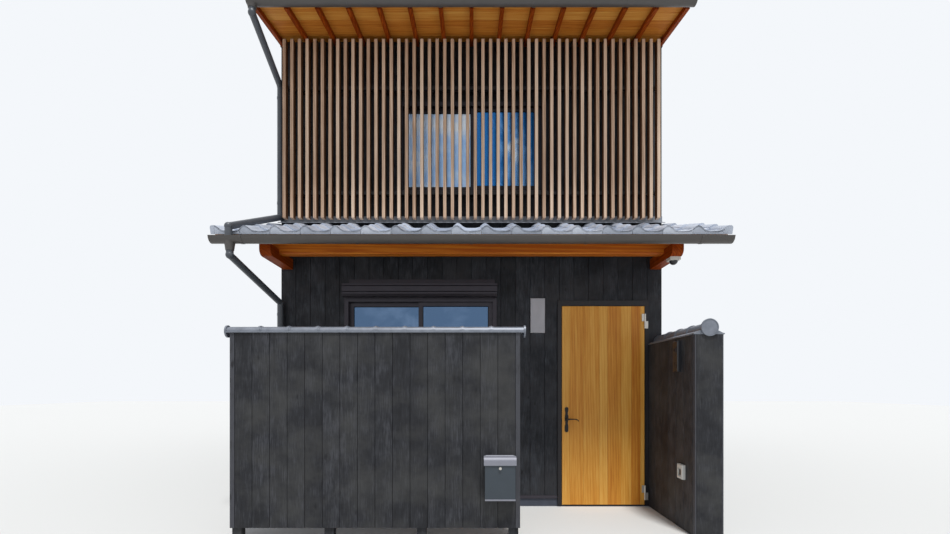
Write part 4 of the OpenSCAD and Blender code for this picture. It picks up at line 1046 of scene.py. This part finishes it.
def panes_of(name):
    """The box of each pane in a glass node, from the loose parts of its mesh."""
    mesh = bmesh.new()
    mesh.from_mesh(nodes[name].data)
    left, boxes = set(mesh.verts), []
    while left:
        queue, part = [left.pop()], []
        while queue:
            vert = queue.pop()
            part.append(vert.co.copy())
            for other in (edge.other_vert(vert) for edge in vert.link_edges):
                if other in left:
                    left.remove(other)
                    queue.append(other)
        boxes.append([Vector([pick(p[i] for p in part) for i in range(3)]) for pick in (min, max)])
    mesh.free()
    return boxes


mesh = bmesh.new()
for name in ("lower_window_glass", "upper_window_glass", "rear_window_glass"):
    for low, high in panes_of(name):
        near, far = (low.y - GASKET_T, low.y) if low.y < 0 else (high.y, high.y + GASKET_T)
        ring(mesh, (low.x, near, low.z), (high.x, far, high.z), GASKET_W)
make_piece("pane_gaskets", mesh, rubber)

# %% [markdown]
# ## Drip strip
# A folded aluminium strip covers the lower ends of the front boards and sheds the rain. It is
# an outline pushed along the wall, left and right of the door frame.

# %% Drip strip
DRIP_H, DRIP_OUT, DRIP_T, DRIP_LIP, DRIP_TOP = 34 * MM, 9 * MM, 2 * MM, 8 * MM, 6 * MM
frame_low, frame_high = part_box("door_frame")
mesh = bmesh.new()
for x0, x1 in ((left_x, frame_low.x), (frame_high.x, right_x)):
    across(mesh, x0, x1, [(front_y - out, base_top + up) for out, up in
                          ((0, 0), (DRIP_OUT, 0), (DRIP_OUT, DRIP_LIP), (DRIP_T, DRIP_H - DRIP_TOP),
                           (DRIP_T, DRIP_H), (0, DRIP_H))])
make_piece("drip_strip", mesh, bronze)

# %% [markdown]
# ## Lens and socket
# The intercom has a round lens in a shallow turned ring, and the outlet cover has a dark
# socket. Both are small, but they tell the eye what the two boxes are.

# %% Intercom lens and outlet socket
LENS_AT, LENS_STEPS = 0.705, 32
LENS_PROFILE = [(0.5 * MM, 15 * MM), (-1 * MM, 14 * MM), (0.0, 12 * MM)]
SOCKET_DEPTH, SOCKET_SIDE, SOCKET_OVER = (6 * MM, 12 * MM), 34 * MM, 44 * MM


def turned(mesh, start, axis, profile, steps, tone=0.5):
    """Adds a turned solid along a level axis, from (distance, radius) pairs."""
    tones = mesh.faces.layers.float.get("tone") or mesh.faces.layers.float.new("tone")
    side = axis.cross(UP)
    angles = [math.radians(360 * i / steps) for i in range(steps)]
    rings = [[mesh.verts.new(start + axis * distance + (side * math.cos(a) + UP * math.sin(a)) * radius)
              for a in angles] for distance, radius in profile]
    faces = [mesh.faces.new(rings[0]), mesh.faces.new(rings[-1][::-1])]
    for near, far in zip(rings, rings[1:]):
        for i in range(steps):
            j = (i + 1) % steps
            faces.append(mesh.faces.new([near[j], near[i], far[i], far[j]]))
    for face in faces:
        face[tones] = tone


call_low, call_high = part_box("intercom")
lens_z = call_low.z + LENS_AT * (call_high.z - call_low.z)
mesh = bmesh.new()
lens_y = (call_low.y + call_high.y) / 2
turned(mesh, Vector((call_low.x, lens_y, lens_z)), -RIGHT, LENS_PROFILE, LENS_STEPS)
make_piece("intercom_lens", mesh, rubber, smooth=SHARP_DEG)

outlet_low, outlet_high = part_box("outlet_cover")
mesh = bmesh.new()
block(mesh, outlet_low + Vector((SOCKET_DEPTH[0], SOCKET_SIDE, SOCKET_SIDE)),
      (outlet_low.x + SOCKET_DEPTH[1], outlet_high.y - SOCKET_SIDE, outlet_high.z - SOCKET_OVER))
make_piece("outlet_socket", mesh, dark_plastic, bevel_mm=1.5)
